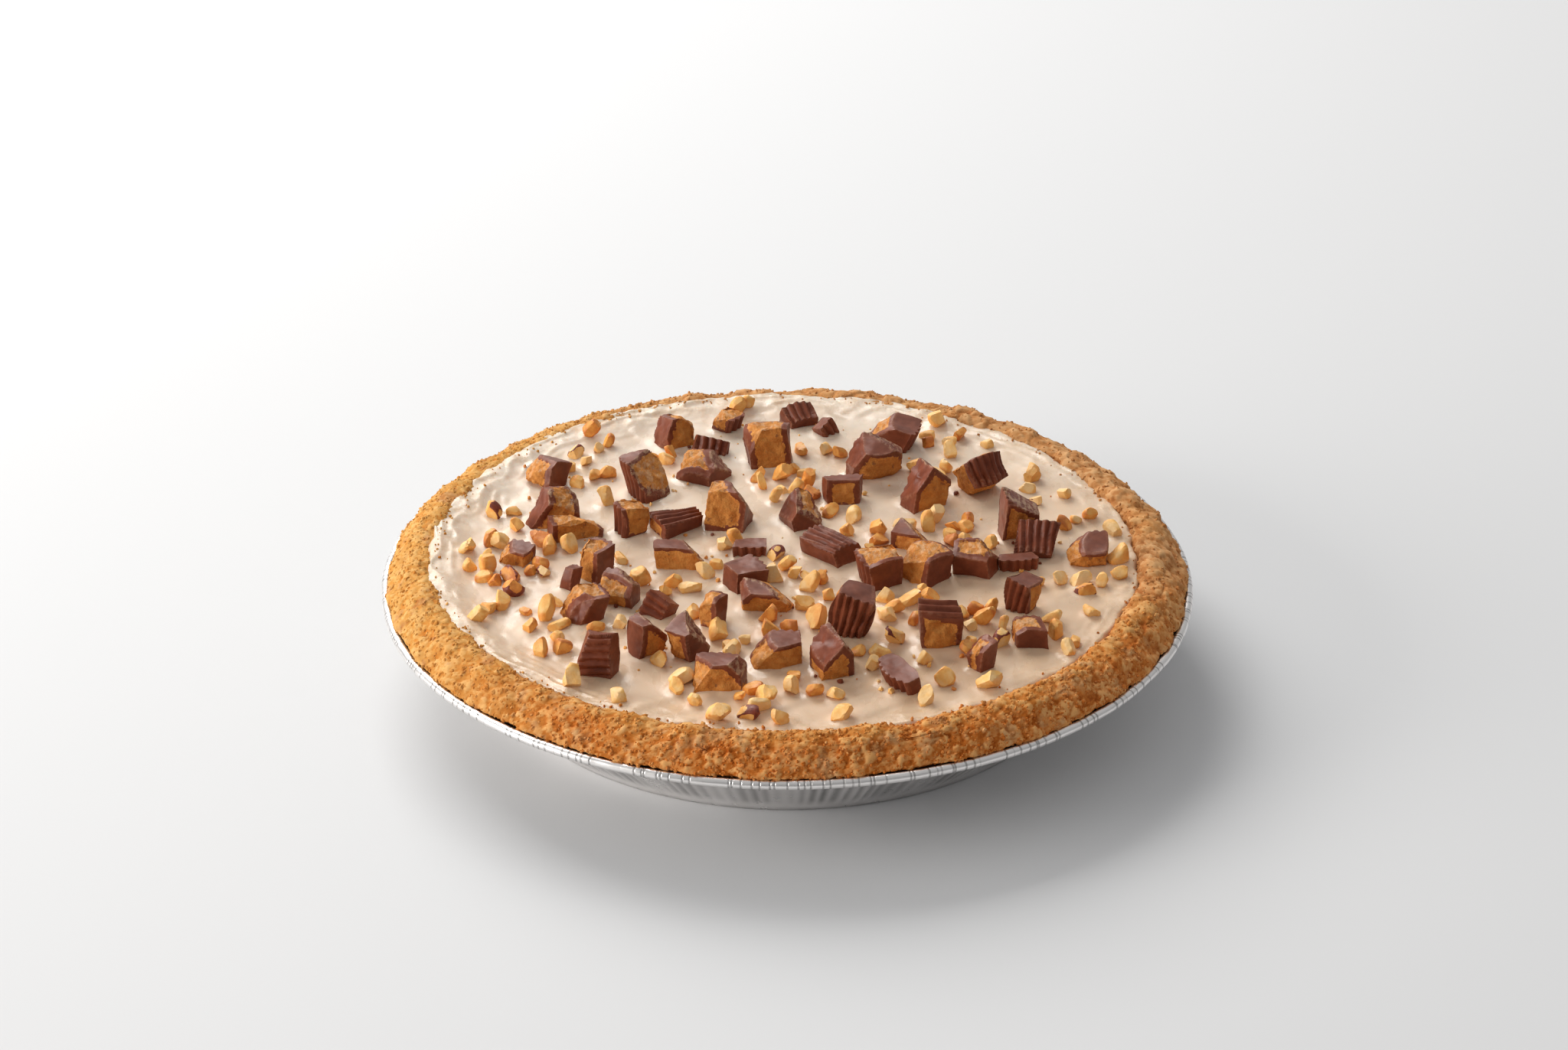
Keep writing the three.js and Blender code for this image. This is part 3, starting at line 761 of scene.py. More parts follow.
def stone():
    """The twelve corners and twenty faces of an icosahedron of radius one."""
    gold = (1 + 5**0.5) / 2
    corners = np.array([
        [-1, gold, 0], [1, gold, 0], [-1, -gold, 0], [1, -gold, 0],
        [0, -1, gold], [0, 1, gold], [0, -1, -gold], [0, 1, -gold],
        [gold, 0, -1], [gold, 0, 1], [-gold, 0, -1], [-gold, 0, 1],
    ])
    faces = np.array([
        [0, 11, 5], [0, 5, 1], [0, 1, 7], [0, 7, 10], [0, 10, 11], [1, 5, 9], [5, 11, 4], [11, 10, 2],
        [10, 7, 6], [7, 1, 8], [3, 9, 4], [3, 4, 2], [3, 2, 6], [3, 6, 8], [3, 8, 9], [4, 9, 5],
        [2, 4, 11], [6, 2, 10], [8, 6, 7], [9, 8, 1],
    ])
    return corners / np.linalg.norm(corners[0]), faces


def turns(chance, count):
    """That many rotation matrices, each from a quaternion of four normal draws made one long."""
    w, x, y, z = np.moveaxis(chance.normal(size=(count, 4)), 1, 0) + 1e-6
    length = np.sqrt(w * w + x * x + y * y + z * z)
    w, x, y, z = w / length, x / length, y / length, z / length
    rows = [
        [1 - 2 * (y * y + z * z), 2 * (x * y - w * z), 2 * (x * z + w * y)],
        [2 * (x * y + w * z), 1 - 2 * (x * x + z * z), 2 * (y * z - w * x)],
        [2 * (x * z - w * y), 2 * (y * z + w * x), 1 - 2 * (x * x + y * y)],
    ]
    return np.moveaxis(np.array(rows), 2, 0)


def scattered(chance, middles, sizes, flatness=0.55):
    """Stones at the given middles: corners pushed in or out by up to a quarter, squeezed along two of their
    own axes, turned at random and scaled to size. Gives points and faces."""
    corners, faces = stone()
    count = len(middles)
    pushed = corners * chance.uniform(0.72, 1.2, (count, len(corners), 1))
    across, thick = chance.uniform(0.6, 1, count), chance.uniform(flatness, 1, count)
    squeeze = np.stack([np.ones(count), across, thick], 1)
    shaped = pushed * squeeze[:, None, :] * (sizes / 2)[:, None, None]
    points = np.einsum("nij,nkj->nki", turns(chance, count), shaped) + middles[:, None, :]
    repeated = faces[None] + (np.arange(count) * len(corners))[:, None, None]
    return points.reshape(-1, 3), [repeated.reshape(-1, 3)]


print("a stone has", len(stone()[1]), "faces")

# %% [markdown]
# ## Setting the grains
# The grains sit where the lip can be seen, fewer where it is clumped. Each one is set on a point of the
# shell and pushed a little into it along the normal, deeper on the smooth left side, so that none of them
# floats.

# %% Loose grains
GRAINS = 11000
grain_chance = np.random.default_rng(11)
lip_first, lip_last = 7, crust_points.shape[0] - 6
grain_row = grain_chance.integers(lip_first, lip_last, GRAINS)
grain_column = grain_chance.integers(0, CRUST_COLUMNS, GRAINS)
kept = grain_chance.uniform(size=GRAINS) > 0.7 * craggy(crust_points[grain_row, grain_column])
grain_row, grain_column = grain_row[kept], grain_column[kept]
grain_count = len(grain_row)
grain_size = np.clip(grain_chance.lognormal(-0.12, 0.35, grain_count), 0.45, 2.0)
grain_seat = crust_points[grain_row, grain_column]
grain_normal = crust_skin[grain_row, grain_column]
grain_sunk = grain_size * (grain_chance.uniform(-0.32, 0.06, grain_count) - 0.08 * smooth_side(grain_seat))
grain_middle = grain_seat + grain_normal * grain_sunk[:, None]
grain_points, grain_faces = scattered(grain_chance, grain_middle, grain_size)
grain_tone = np.clip(grain_chance.normal(0.52, 0.13, grain_count), 0.0, 1.0)
new_piece(
    "loose_crumb", grain_points, grain_faces, "crumb", crumb, smooth=False,
    tone=np.repeat(grain_tone, STONE_CORNERS), toast=toasting(grain_points), flour=flouriness(grain_points),
)

# %% [markdown]
# ## The cup pieces
# Each piece was chopped from a chocolate cup: one side keeps the cup's pleated wall, the top is the cup's
# flat top, and the rest are knife cuts. They could be modelled one by one, but a table is easier to read
# and mend: it says where each piece lies, how it is turned, its size, its slanted cuts and which faces
# kept chocolate.

# %% Cup piece table
# Place, then heading, lift and roll of the ribbed side, then width, depth and height, then the heading,
# lift and distance of each slanted cut, and last the faces that keep their chocolate: o outer ribs, i
# inner, l and r the two sides, t top, b bottom, s and u the slanted cuts.
CUP_PIECES = [
    ((3.5, 81.5), (-75, 70, 8), (8.5, 3.6, 6), [], "oblr"),
    ((-17.5, 78.5), (-40, -6, 0), (6.5, 6.5, 6.2), [(-165, 50, 3.2)], "ob"),
    ((11, 75.5), (-60, 20, 30), (4.2, 3.2, 3.8), [], "oilrtb"),
    ((-33, 69.5), (120, -12, 0), (11, 8.5, 8.6), [(200, 25, 3.6), (40, 52, 4.4)], "os"),
    ((29.5, 67), (-15, -14, 0), (10.5, 14.5, 7.4), [(172, 56, 2.6)], "ortb"),
    ((-22.5, 62.3), (-80, 34, -16), (8.6, 3.4, 4.4), [], "oilrtb"),
    ((-5.5, 56), (95, -12, 0), (12.5, 8.5, 12), [(-150, 30, 6)], "olr"),
    ((25, 48.5), (110, 16, 0), (15.5, 9.5, 9.2), [(-165, 35, 5.4), (25, 58, 4.8)], "otlsu"),
    ((-24, 47), (60, 0, 0), (12.8, 12, 7.6), [(-140, 50, 4.4), (5, 48, 4.2)], "oirbu"),
    ((-69, 43.5), (60, -22, 0), (10.4, 8, 6.4), [(-165, 55, 2.2)], "otr"),
    ((54.5, 38), (-50, 38, 0), (11, 10, 8), [], "o"),
    ((-39, 35.4), (-150, 0, 6), (10, 12, 11.5), [(-25, 42, 1)], "oblt"),
    ((15.5, 31.5), (95, -14, 0), (10, 6, 8), [], "olrtb"),
    ((38.5, 31), (125, 0, 0), (12.5, 10.5, 13.5), [(-170, 38, 3), (30, 48, 5)], "oltsu"),
    ((-65.2, 18.8), (100, -8, 0), (14.6, 7.6, 10), [(198, 35, 3.4), (-40, 58, 3.8)], "osr"),
    ((-16, 18), (78, -10, 0), (12, 11, 12), [(15, 32, 4)], "obrs"),
    ((4, 18.5), (28, 0, 0), (11, 10.5, 9.6), [(-165, 35, 3.4), (-15, 50, 2.6)], "oisrb"),
    ((-58.8, 11), (20, 0, 0), (7, 14.5, 6.5), [(60, 60, 3)], "oi"),
    ((-43.5, 12.5), (-150, 10, 0), (7, 7, 9), [], "ob"),
    ((-30.6, 14.6), (30, 96, 0), (7.2, 5.6, 13.4), [], "oirlb"),
    ((64, 10.5), (10, 86, 0), (7, 13.5, 10.5), [(0, 58, 4.6)], "otbs"),
    ((34, 4), (60, 0, 0), (9.5, 7.5, 7), [(20, 45, 2.6)], "otl"),
    ((68.5, 1), (-97, 50, 0), (9.5, 5, 8), [], "oblrt"),
    ((11.5, -1), (-40, 97, 0), (8.6, 6.6, 12.8), [], "orltb"),
    ((-10.2, 0), (-92, 0, 0), (7.6, 4.4, 5), [], "otblr"),
    ((82.2, -3.8), (95, 14, 0), (11, 7.6, 6.6), [(-170, 50, 3.6)], "ot"),
    ((-29.5, -6), (78, -10, 0), (13, 6.4, 5.6), [(25, 40, 3.4)], "ot"),
    ((-74, -4.5), (70, 0, 0), (8.6, 6.2, 5.2), [(-170, 55, 2.6)], "ot"),
    ((63, -8), (-82, 8, 0), (9.2, 4, 3.8), [], "otblr"),
    ((50.7, -10.5), (80, 8, 0), (11, 8, 7.6), [(10, 45, 4.4)], "oilrb"),
    ((-52, -12.8), (60, 0, 0), (7, 7, 9.6), [], "or"),
    ((24.9, -15.6), (-165, 0, 0), (10.8, 10.8, 9.6), [], "olb"),
    ((37.4, -14), (50, 0, 0), (10.4, 9.9, 10.2), [(-160, 52, 4.8)], "or"),
    ((-58.5, -19.6), (60, -12, 0), (3.2, 3, 7.2), [], "oilrtb"),
    ((-11.5, -19), (30, 0, 0), (7.8, 8.6, 7.4), [], "oirltb"),
    ((-45, -27), (72, 5, 0), (9.8, 7, 8), [(20, 55, 4.2), (-125, 45, 2.6)], "otrs"),
    ((-5.4, -29.7), (80, 6, 0), (13.7, 8, 6.8), [(30, 58, 3), (-165, 45, 6)], "otu"),
    ((62.4, -31.5), (-122, 8, -12), (6.8, 5.8, 10.2), [], "otb"),
    ((-34.3, -34.8), (-125, 20, 75), (6, 4.2, 6.2), [], "otblr"),
    ((-54, -35.5), (30, -10, 0), (9.6, 9, 8.4), [(-150, 45, 3.6), (-112, 18, 4.2)], "oru"),
    ((-19.5, -39.5), (60, 0, 0), (5.2, 5.2, 9), [(-170, 55, 3.8)], "orb"),
    ((17.2, -45.8), (-100, 0, -16), (10.5, 8, 13), [], "otb"),
    ((40, -50), (-95, 64, 100), (9, 11.5, 10.6), [(-85, 0, 3.8)], "otb"),
    ((63.4, -49.2), (100, 0, 0), (8.2, 6.6, 6.4), [(-160, 55, 3.6)], "oirb"),
    ((-36.5, -54.5), (125, 0, 0), (7.8, 7.6, 10.4), [(30, 45, 3.4)], "ols"),
    ((-25.6, -57), (50, 8, 0), (7.8, 7.8, 11), [(5, 38, 3)], "otrs"),
    ((-2.6, -60.2), (100, 0, 0), (13, 8.6, 7.4), [(-160, 48, 3.8)], "ot"),
    ((-48.6, -65), (-112, 12, 98), (11.4, 6.2, 9), [(-178, 25, 4.5)], "otblrs"),
    ((50.3, -62.2), (130, 0, 0), (5.2, 5, 9), [(-170, 50, 2.8)], "oirb"),
    ((12.3, -64), (104, 0, 0), (10, 9.6, 11.4), [(-150, 45, 4), (20, 35, 4)], "orsu"),
    ((-17.6, -71.2), (86, -8, 0), (12.7, 7.4, 7.2), [(-150, 38, 4.6), (-15, 40, 5.2)], "otu"),
    ((29.5, -70.8), (-152, -8, 0), (13.5, 6, 5), [], "otblr"),
]
print("cup pieces:", len(CUP_PIECES))

# %% [markdown]
# ## The faces of a piece
# All the pieces follow one rule: a point is inside while it is inside every face. Boolean cuts could do
# this too, but a formula for the distance to each face also tells, later, how deep a point lies behind
# the chocolate.

# %% Faces of a cup piece
CUP_TOP = 15.5
CUP_BASE = 12.5
CUP_HEIGHT = 15.0
CUP_RIBS = 42
RIB_DEPTH = 0.8
KNIFE_LEAN = np.radians(9)


def draw(item, question):
    """A fixed number from 0 to 1: what is left after the point of a large multiple of a sine."""
    wave = np.sin(item * 12.9898 + question * 78.233) * 43758.5453
    return wave - np.floor(wave)


def turn_matrix(heading, lift, roll):
    """The rotation that rolls about X, lifts about Y and then swings about Z, angles in degrees."""
    (ch, cl, cr), (sh, sl, sr) = (f(np.radians([heading, -lift, roll])) for f in (np.cos, np.sin))
    swing = np.array([[ch, -sh, 0], [sh, ch, 0], [0, 0, 1]])
    raise_up = np.array([[cl, 0, sl], [0, 1, 0], [-sl, 0, cl]])
    roll_over = np.array([[1, 0, 0], [0, cr, -sr], [0, sr, cr]])
    return swing @ raise_up @ roll_over


def piece_planes(index, turn, size, slants, coated):
    """The knife cuts by face letter: outward unit normal, distance and bend. Every cut leans a few degrees,
    and bare paste bulges or hollows more than chocolate."""
    wide, deep, tall = size
    lean = [KNIFE_LEAN * (2 * draw(index, k) - 1) for k in range(9)]
    planes = {
        "i": ((-1, -lean[1], -lean[2]), deep / 2),
        "l": ((-0.12 - lean[3], 1, -lean[4]), wide / 2),
        "r": ((-0.12 - lean[5], -1, -lean[6]), wide / 2),
        "b": ((-lean[7], -lean[8], -1), tall / 2),
        "t": ((0, 0, 1), tall / 2),
    }
    for letter, (heading, lift, distance) in zip("su", slants):
        planes[letter] = (turn.T @ turn_matrix(heading, lift, 0)[:, 0], distance)
    share = {letter: draw(index, 30 + k) for k, letter in enumerate(planes)}
    bend = {k: 0.012 * v - 0.006 if k in coated else 0.045 * v - 0.012 for k, v in share.items()}
    return {letter: (np.array(n) / np.linalg.norm(n), d, bend[letter]) for letter, (n, d) in planes.items()}


def face_distances(points, size, planes, ribs):
    """How far points lie outside each face. For a cut it is the distance along its normal plus its bend
    times the square of the distance aside. For the pleated wall it is the distance from the axis less the
    cup's radius there, drawn in between ribs by one less a rounded cosine."""
    _, deep, tall = size
    out = points[..., 0] + (CUP_TOP + CUP_BASE) / 2 - deep / 2
    up = points[..., 2] + CUP_HEIGHT - tall / 2
    angle = np.arctan2(points[..., 1], out)
    radius = CUP_BASE + (CUP_TOP - CUP_BASE) * up / CUP_HEIGHT
    valley = 1 - np.abs(np.cos(CUP_RIBS * angle / 2)) ** 1.4
    found = {"o": np.hypot(out, points[..., 1]) - radius + ribs * RIB_DEPTH * valley}
    for letter, (normal, distance, bend) in planes.items():
        along = points @ normal
        found[letter] = along - distance + bend * ((points**2).sum(-1) - along**2)
    return found


first_cuts = piece_planes(0, np.eye(3), *CUP_PIECES[0][2:])
print("knife cuts of the first piece:", list(first_cuts))

# %% [markdown]
# ## Crisp cuts
# A piece begins as the skin of a cube, a closed grid of quads. Its points are pushed out along their rays
# until they meet a face. Points that land close to an edge are then pulled onto it, so that the cuts stay
# crisp without a very fine mesh.

# %% Skin of a cup piece
FURTHEST = 3.0
HALVINGS = 20
EDGE_PULL = 0.16
SLOPE_STEP = 0.02


def cube_skin(n):
    """The skin of a cube as six grids of n by n quads with shared corners, from -1 to 1, with the lines
    drawn a little closer together near the edges."""
    u, v = np.meshgrid(np.arange(n + 1), np.arange(n + 1), indexing="ij")
    sides = []
    for axis, side in np.ndindex(3, 2):
        grid = np.full((n + 1, n + 1, 3), side * n)
        grid[..., (axis + 1) % 3] = u if side else v
        grid[..., (axis + 2) % 3] = v if side else u
        sides.append(grid.reshape(-1, 3))
    corners, index = np.unique(np.concatenate(sides), axis=0, return_inverse=True)
    index = index.reshape(6, n + 1, n + 1)
    quads = [index[:, :-1, :-1], index[:, 1:, :-1], index[:, 1:, 1:], index[:, :-1, 1:]]
    plain = 2 * corners / n - 1
    return 0.6 * plain + 0.4 * np.sin(np.pi / 2 * plain), np.stack(quads, -1).reshape(-1, 4)


def pushed_out(rays, distances_at):
    """The points along rays, drawn out FURTHEST times, where the largest of the face distances is zero. Each
    of the HALVINGS keeps the half of a ray in which that point lies."""
    near, far = np.zeros(len(rays)), np.full(len(rays), FURTHEST)
    for _ in range(HALVINGS):
        middle = (near + far) / 2
        outside = np.max(list(distances_at(rays * middle[:, None]).values()), axis=0) > 0
        near, far = np.where(outside, near, middle), np.where(outside, middle, far)
    return rays * near[:, None]


def to_edges(points, distances_at):
    """Moves points that lie close to an edge onto it. Of the two faces nearest a point, the distances and
    their slopes (found by small steps) give two equations for a move within the plane of the two slopes."""
    found = np.stack(list(distances_at(points).values()))
    steps = SLOPE_STEP * np.eye(3)
    moved = [np.stack(list(distances_at(points + step).values())) for step in steps]
    slopes = np.stack([there - found for there in moved], -1) / SLOPE_STEP
    nearest = np.argsort(-found, axis=0)[:2]
    here = np.arange(len(points))
    (g, h), (a, b) = found[nearest, here], slopes[nearest, here]
    aa, bb, ab = (a * a).sum(-1), (b * b).sum(-1), (a * b).sum(-1)
    square = np.maximum(aa * bb - ab**2, 0.05)
    move = ((h * ab - g * bb) / square)[:, None] * a + ((g * ab - h * aa) / square)[:, None] * b
    close = np.linalg.norm(move, axis=1) < EDGE_PULL
    return points + np.where(close[:, None], move, 0)


def skin_normals(points, quads):
    """Unit normals at points: the sum of the normals of the quads that meet there."""
    a, b, c, d = (points[quads[:, k]] for k in range(4))
    flat = np.cross(c - a, d - b)
    total = np.zeros_like(points)
    for k in range(4):
        np.add.at(total, quads[:, k], flat)
    return total / np.maximum(np.linalg.norm(total, axis=1, keepdims=True), 1e-9)


print("a cube skin of 3 by 3 has", len(cube_skin(3)[1]), "quads")

# %% [markdown]
# ## One chopped piece
# Real pieces are never as clean as their cuts. A slow warp bends the faces, paste crumbles and chocolate
# stays waxy, so each gets its own roughness along the normals. The cuts below are moved down to root the
# piece in the cream. Numbers that the finish needs, such as the depth behind the chocolate, are stored on
# the points.

# %% Cup piece shape
COAT = 1.6
TOP_COAT = 0.95
ROOT = 2.2
WARP = 0.45
SCUFF_SIDE = 60
SMALL_PIECE = 8
SMALL_GRID = 26
LARGE_GRID = 40


def cut_relief(places, paste):
    """How far points move along their normals: crumbly where paste is bare, a waxy swell elsewhere."""
    crumbly = 0.42 * swell(places, 4.2, 40) + 0.4 * swell(places, 1.9, 41)
    crumbly = crumbly + 0.18 * swell(places, 0.9, 42) - 0.25
    waxy = 0.2 * swell(places, 4.0, 43) + 0.06 * swell(places, 1.3, 44)
    return paste * crumbly + (1 - paste) * waxy


def wear(distances, upward, paste, slants, coated):
    """Where a piece is marked: scuffed on paste that faces up and on slanted cuts that face right, given a
    painted sheen on the cup's flat top for the bright room's reflection, and rubbed where chocolate is close
    to a second face."""
    scuff = paste * ease(upward, 0.35, 0.85)
    for letter, (heading, _, _) in zip("su", slants):
        if abs(heading) < SCUFF_SIDE:
            scuff = np.maximum(scuff, ease(-distances[letter], 0.5, 0.1))
    # Painted sheen: the flat chocolate top greyed as a reflection of the bright room.
    bloom = ease(-distances["t"], 0.5, 0.0) if "t" in coated else np.zeros(len(paste))
    second = np.sort(np.stack(list(distances.values())), axis=0)[-2]
    return {"scuff": scuff, "bloom": bloom, "rub": (1 - paste) * ease(second, -0.7, -0.15)}


def chopped_piece(index, row):
    """One piece: a cube's skin scaled to the block, pushed out to its faces and roughened along its normals.
    Cuts that face down are moved down, so that the piece is rooted in the cream."""
    at, faces, size, slants, coated = row
    turn = turn_matrix(*faces)
    planes = piece_planes(index, turn, size, slants, coated)
    rooted = {k: (n, d + ROOT * max(0, -(turn @ n)[2]), bend) for k, (n, d, bend) in planes.items()}
    skin, quads = cube_skin(SMALL_GRID if max(size) < SMALL_PIECE else LARGE_GRID)
    rays = skin * np.array([size[1], size[0], size[2]]) / 2
    apart = 40.0 * (index + 1)
    warp = WARP * np.stack([swell(rays + apart, 5.0, 45 + k) for k in range(3)], -1)

    def rooted_distances(points):
        """How far points, moved by the warp, lie outside each face of the rooted piece."""
        return face_distances(points + warp, size, rooted, 1)

    points = to_edges(pushed_out(rays, rooted_distances), rooted_distances)
    distances = face_distances(points + warp, size, planes, 0)
    depth = np.min([-distances[k] * (COAT / TOP_COAT if k == "t" else 1) for k in coated], axis=0)
    paste = ease(depth, COAT - 0.3, COAT + 0.4)
    normals = skin_normals(points, quads)
    placed = (points + normals * cut_relief(points + apart, paste)[:, None]) @ turn.T
    top = box_mm(f"cup_piece_{index + 1:02d}")[1][2]
    placed += [at[0], at[1], top - placed[:, 2].max()]
    upward = (normals @ turn.T)[:, 2]
    marks = wear(distances, upward, paste, slants, coated)
    return placed, quads, {"depth": np.maximum(depth, 0), **marks}


print("a large piece has", len(cube_skin(LARGE_GRID)[1]), "quads")

# %% [markdown]
# ## The chocolate and its filling
# The outside is milk chocolate: reddish brown and a little waxy, with a painted sheen that greys the
# flat tops as the reflection of the bright room. The knife cuts show a peanut paste, orange-tan and
# grainy, with pale scuffs on top. Both belong to one mesh, so the material asks how deep a point lies
# behind the nearest chocolate face and switches from chocolate to paste at the coat's thickness, with
# some noise so that the line is broken.


# %% Cup finish
def cup_finish():
    """Chocolate and paste chosen by the stored depth; each has its own colours, roughness and bump."""
    material, tree, shader = new_finish("chocolate_and_paste", Specular_IOR_Level=0.26)
    wander = step_mask(tree, noise(tree, 1.6, 3.0), 0.2, 0.8, -0.6, 0.6)
    depth = sums(tree, stored(tree, "depth"), wander)
    paste = step_mask(tree, depth, COAT - 0.14, COAT + 0.14)
    brown, _ = mottle(tree, 3.2, 0.5, 0.16, rgb(0.215, 0.054, 0.023), rgb(0.155, 0.035, 0.014))
    # Painted sheen: the flat tops greyed as a reflection of the bright room.
    sheened = blend(tree, times(tree, stored(tree, "bloom"), 0.18), brown, rgb(0.26, 0.15, 0.125))
    broken = step_mask(tree, noise(tree, 0.9, 3.0), 0.4, 0.62, 0.0, 0.55)
    rubbed = blend(tree, times(tree, broken, stored(tree, "rub")), sheened, rgb(0.33, 0.14, 0.08))
    tan, _ = mottle(tree, 2.2, 0.5, 0.16, rgb(0.66, 0.275, 0.062), rgb(0.53, 0.19, 0.036))
    _, crumb_spot = mottle(tree, 0.8, 0.64, 0.05)
    flecked = blend(tree, times(tree, crumb_spot, 0.4), tan, rgb(0.76, 0.43, 0.15))
    _, smear = mottle(tree, 2.6, 0.65, 0.03)
    smeared = blend(tree, times(tree, smear, 0.7), flecked, rgb(0.22, 0.08, 0.035))
    both = blend(tree, paste, rubbed, smeared)
    streak = step_mask(tree, noise(tree, 1.2, 4.0, stretch=(1.0, 0.4, 1.0)), 0.46, 0.6, 0.0, 0.45)
    scuffed = blend(tree, times(tree, streak, stored(tree, "scuff")), both, rgb(0.68, 0.46, 0.28))
    paint(tree, shader, scuffed, step_mask(tree, paste, 0.0, 1.0, 0.4, 0.75))
    rough = sums(tree, paste, stored(tree, "scuff"), "MAXIMUM")
    grit = times(tree, fine_grain(tree, 0.6), step_mask(tree, rough, 0.0, 1.0, 0.05, 1.0))
    bump(tree, shader, grit, 0.18, 0.8)
    return material


cup = cup_finish()
for index, row in enumerate(CUP_PIECES):
    points, quads, marks = chopped_piece(index, row)
    name = f"{index + 1:02d}"
    chopped = new_piece(f"chopped_cup_{name}", points, [quads], "chocolate", cup, sharp=40, **marks)
    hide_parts(f"cup_piece_{name}")

# %% [markdown]
# ## Where the nuts lie
# Chopped peanuts lie in small heaps between the pieces. Their places follow the solids: a few nuts round
# the middle of each heap, moved out from under the chocolate. The same fixed draws give the same places.

# %% Nut places
NUT_SHORT = 4.2
NUT_LONG = 6.6
NUT_SPACING = 3.1
GAP = 0.3

# The middle of each heap and the number of nuts in it.
NUT_HEAPS = [
    (-12, 88.5, 2), (46, 83, 1), (-57.5, 72, 1), (50, 71.5, 1), (42, 69, 2), (47, 67.5, 1), (58, 66.5, 1),
    (-53, 64.5, 2), (-37, 58.5, 3), (-61, 60, 1), (11, 63, 1), (15, 60, 1), (47, 60, 1), (4, 63, 1),
    (-59.5, 51.5, 2), (5.5, 47.5, 1), (36, 49.5, 1), (70, 50, 1), (-51.5, 47, 1), (46, 47, 2),
    (-56.5, 42.5, 2), (0, 46, 2), (-8, 42, 2), (69, 42, 2), (78, 34.5, 1), (-3.5, 34, 2), (4.5, 38, 2),
    (70, 30, 1), (-51, 29.5, 1), (8.5, 33, 1), (14, 28, 1), (-76.5, 23.5, 1), (84.5, 21.5, 1),
    (-82, 22.5, 1), (18.5, 20, 1), (41, 18.5, 1), (77, 18.5, 2), (48, 16, 2), (-75, 14, 1), (25, 11, 1),
    (36.5, 14.5, 2), (91, 12, 1), (-69.5, 9, 1), (16.5, 11, 1), (50, 9.5, 2), (44.5, 7.5, 2),
    (-65.5, 5.5, 1), (-59.5, 5, 1), (25.5, 4, 2), (56, 3.5, 1), (-17, 4.5, 2), (-84, 2.5, 2), (-79, 4, 1),
    (-65, 1, 1), (-5.5, -1.5, 1), (-88.5, -0.5, 1), (91, -4.5, 1), (-45.5, -4.5, 1), (-22.5, -9, 2),
    (-83.5, -6.5, 2), (-66.5, -10.5, 2), (0, -10, 1), (-83, -11.5, 2), (0, -14.5, 2), (-73, -13, 2),
    (6, -16.5, 1), (88.5, -16, 2), (-78.5, -17.5, 1), (71, -18.5, 2), (-39.5, -18, 1), (9, -20, 2),
    (80, -19, 2), (-32.5, -21, 2), (-26, -22, 1), (37.5, -24.5, 2), (-74.5, -26, 2), (26, -27, 1),
    (33, -28.5, 1), (11, -26, 1), (-63, -29, 1), (3, -31.5, 1), (81, -33.5, 1), (56, -32.5, 1),
    (29, -36, 2), (-80.5, -35.5, 2), (-69.5, -34, 1), (48.5, -35.5, 2), (-25, -36, 1), (-63, -36, 1),
    (34, -39, 1), (70, -39, 1), (-58, -39.5, 1), (-5.5, -41.5, 2), (1, -42.5, 1), (9, -41.5, 1),
    (51, -42.5, 2), (-68, -43, 1), (71, -46, 1), (57, -42.5, 1), (-46.5, -43, 2), (-18, -46.5, 1),
    (57, -51, 1), (-60, -48.5, 1), (28, -50.5, 1), (75.5, -53.5, 2), (46, -53, 2), (18.5, -55.5, 1),
    (-13.5, -50.5, 2), (-61, -55, 2), (24, -57, 1), (-14.5, -56, 1), (37, -57.5, 1), (-31, -59, 1),
    (22, -63, 1), (-56.5, -74, 1), (40.5, -70.5, 1), (-28.5, -74, 1), (-25, -71, 1), (2, -71.5, 2),
    (52, -73.5, 1), (7, -76, 1), (12, -77, 1), (-10, -78, 2), (-44, -81, 1), (35.5, -80, 1),
    (-23.5, -81, 1), (-5.5, -82.5, 2), (-10, -87, 1), (-1.5, -90.5, 1), (14, -88, 1), (-17.5, -90.5, 1),
]
# Nuts that still wear their red-brown skin.
SKIN_SPOTS = [
    (-61, 60), (-82, 22.5), (-63, -11.5), (-72, -16), (-75, -24), (-5.5, -1.5), (70, 30), (79, -21),
    (57, -51), (-10, -87), (28, -50.5), (33, -28.5),
]


def piece_reach(row, towards):
    """How far a piece, taken as a plain block, reaches from its middle along level directions: half the sum
    of its three sizes, each times the part of the direction along that side."""
    _, faces, (wide, deep, tall), _, _ = row
    along = np.abs(towards @ turn_matrix(*faces)[:2])
    return along @ np.array([deep, wide, tall]) / 2


def nut_places():
    """Level places and sizes of the nuts: spread round each heap's middle, then pushed clear of pieces."""
    heaps = np.array(NUT_HEAPS, float)
    count = heaps[:, 2].astype(int)
    heap = np.repeat(np.arange(len(heaps)), count)
    i = np.arange(len(heap))
    k = i - np.repeat(np.cumsum(count) - count, count)
    many = count[heap]
    angle = 2 * np.pi * (k / many + 0.3 * draw(i, 11))
    offset = np.where(many > 1, NUT_SPACING * (0.7 + 0.3 * many * draw(i, 12)), 0)
    size = NUT_SHORT + (NUT_LONG - NUT_SHORT) * draw(i, 13)
    spot = heaps[heap, :2] + offset[:, None] * np.stack([np.cos(angle), np.sin(angle)], 1)
    for row in CUP_PIECES * 2:
        away = spot - np.array(row[0], float)
        distance = np.linalg.norm(away, axis=1)
        away /= np.maximum(distance, 1e-6)[:, None]
        clear = piece_reach(row, away) + 0.45 * size + GAP
        spot = spot + away * np.maximum(clear - distance, 0)[:, None]
    reach = np.linalg.norm(spot, axis=1)
    limit = LIP_IN - 0.6 * size - 1
    return spot * np.minimum(1, limit / reach)[:, None], size


nut_spot, nut_size = nut_places()
print("nuts:", len(nut_spot))

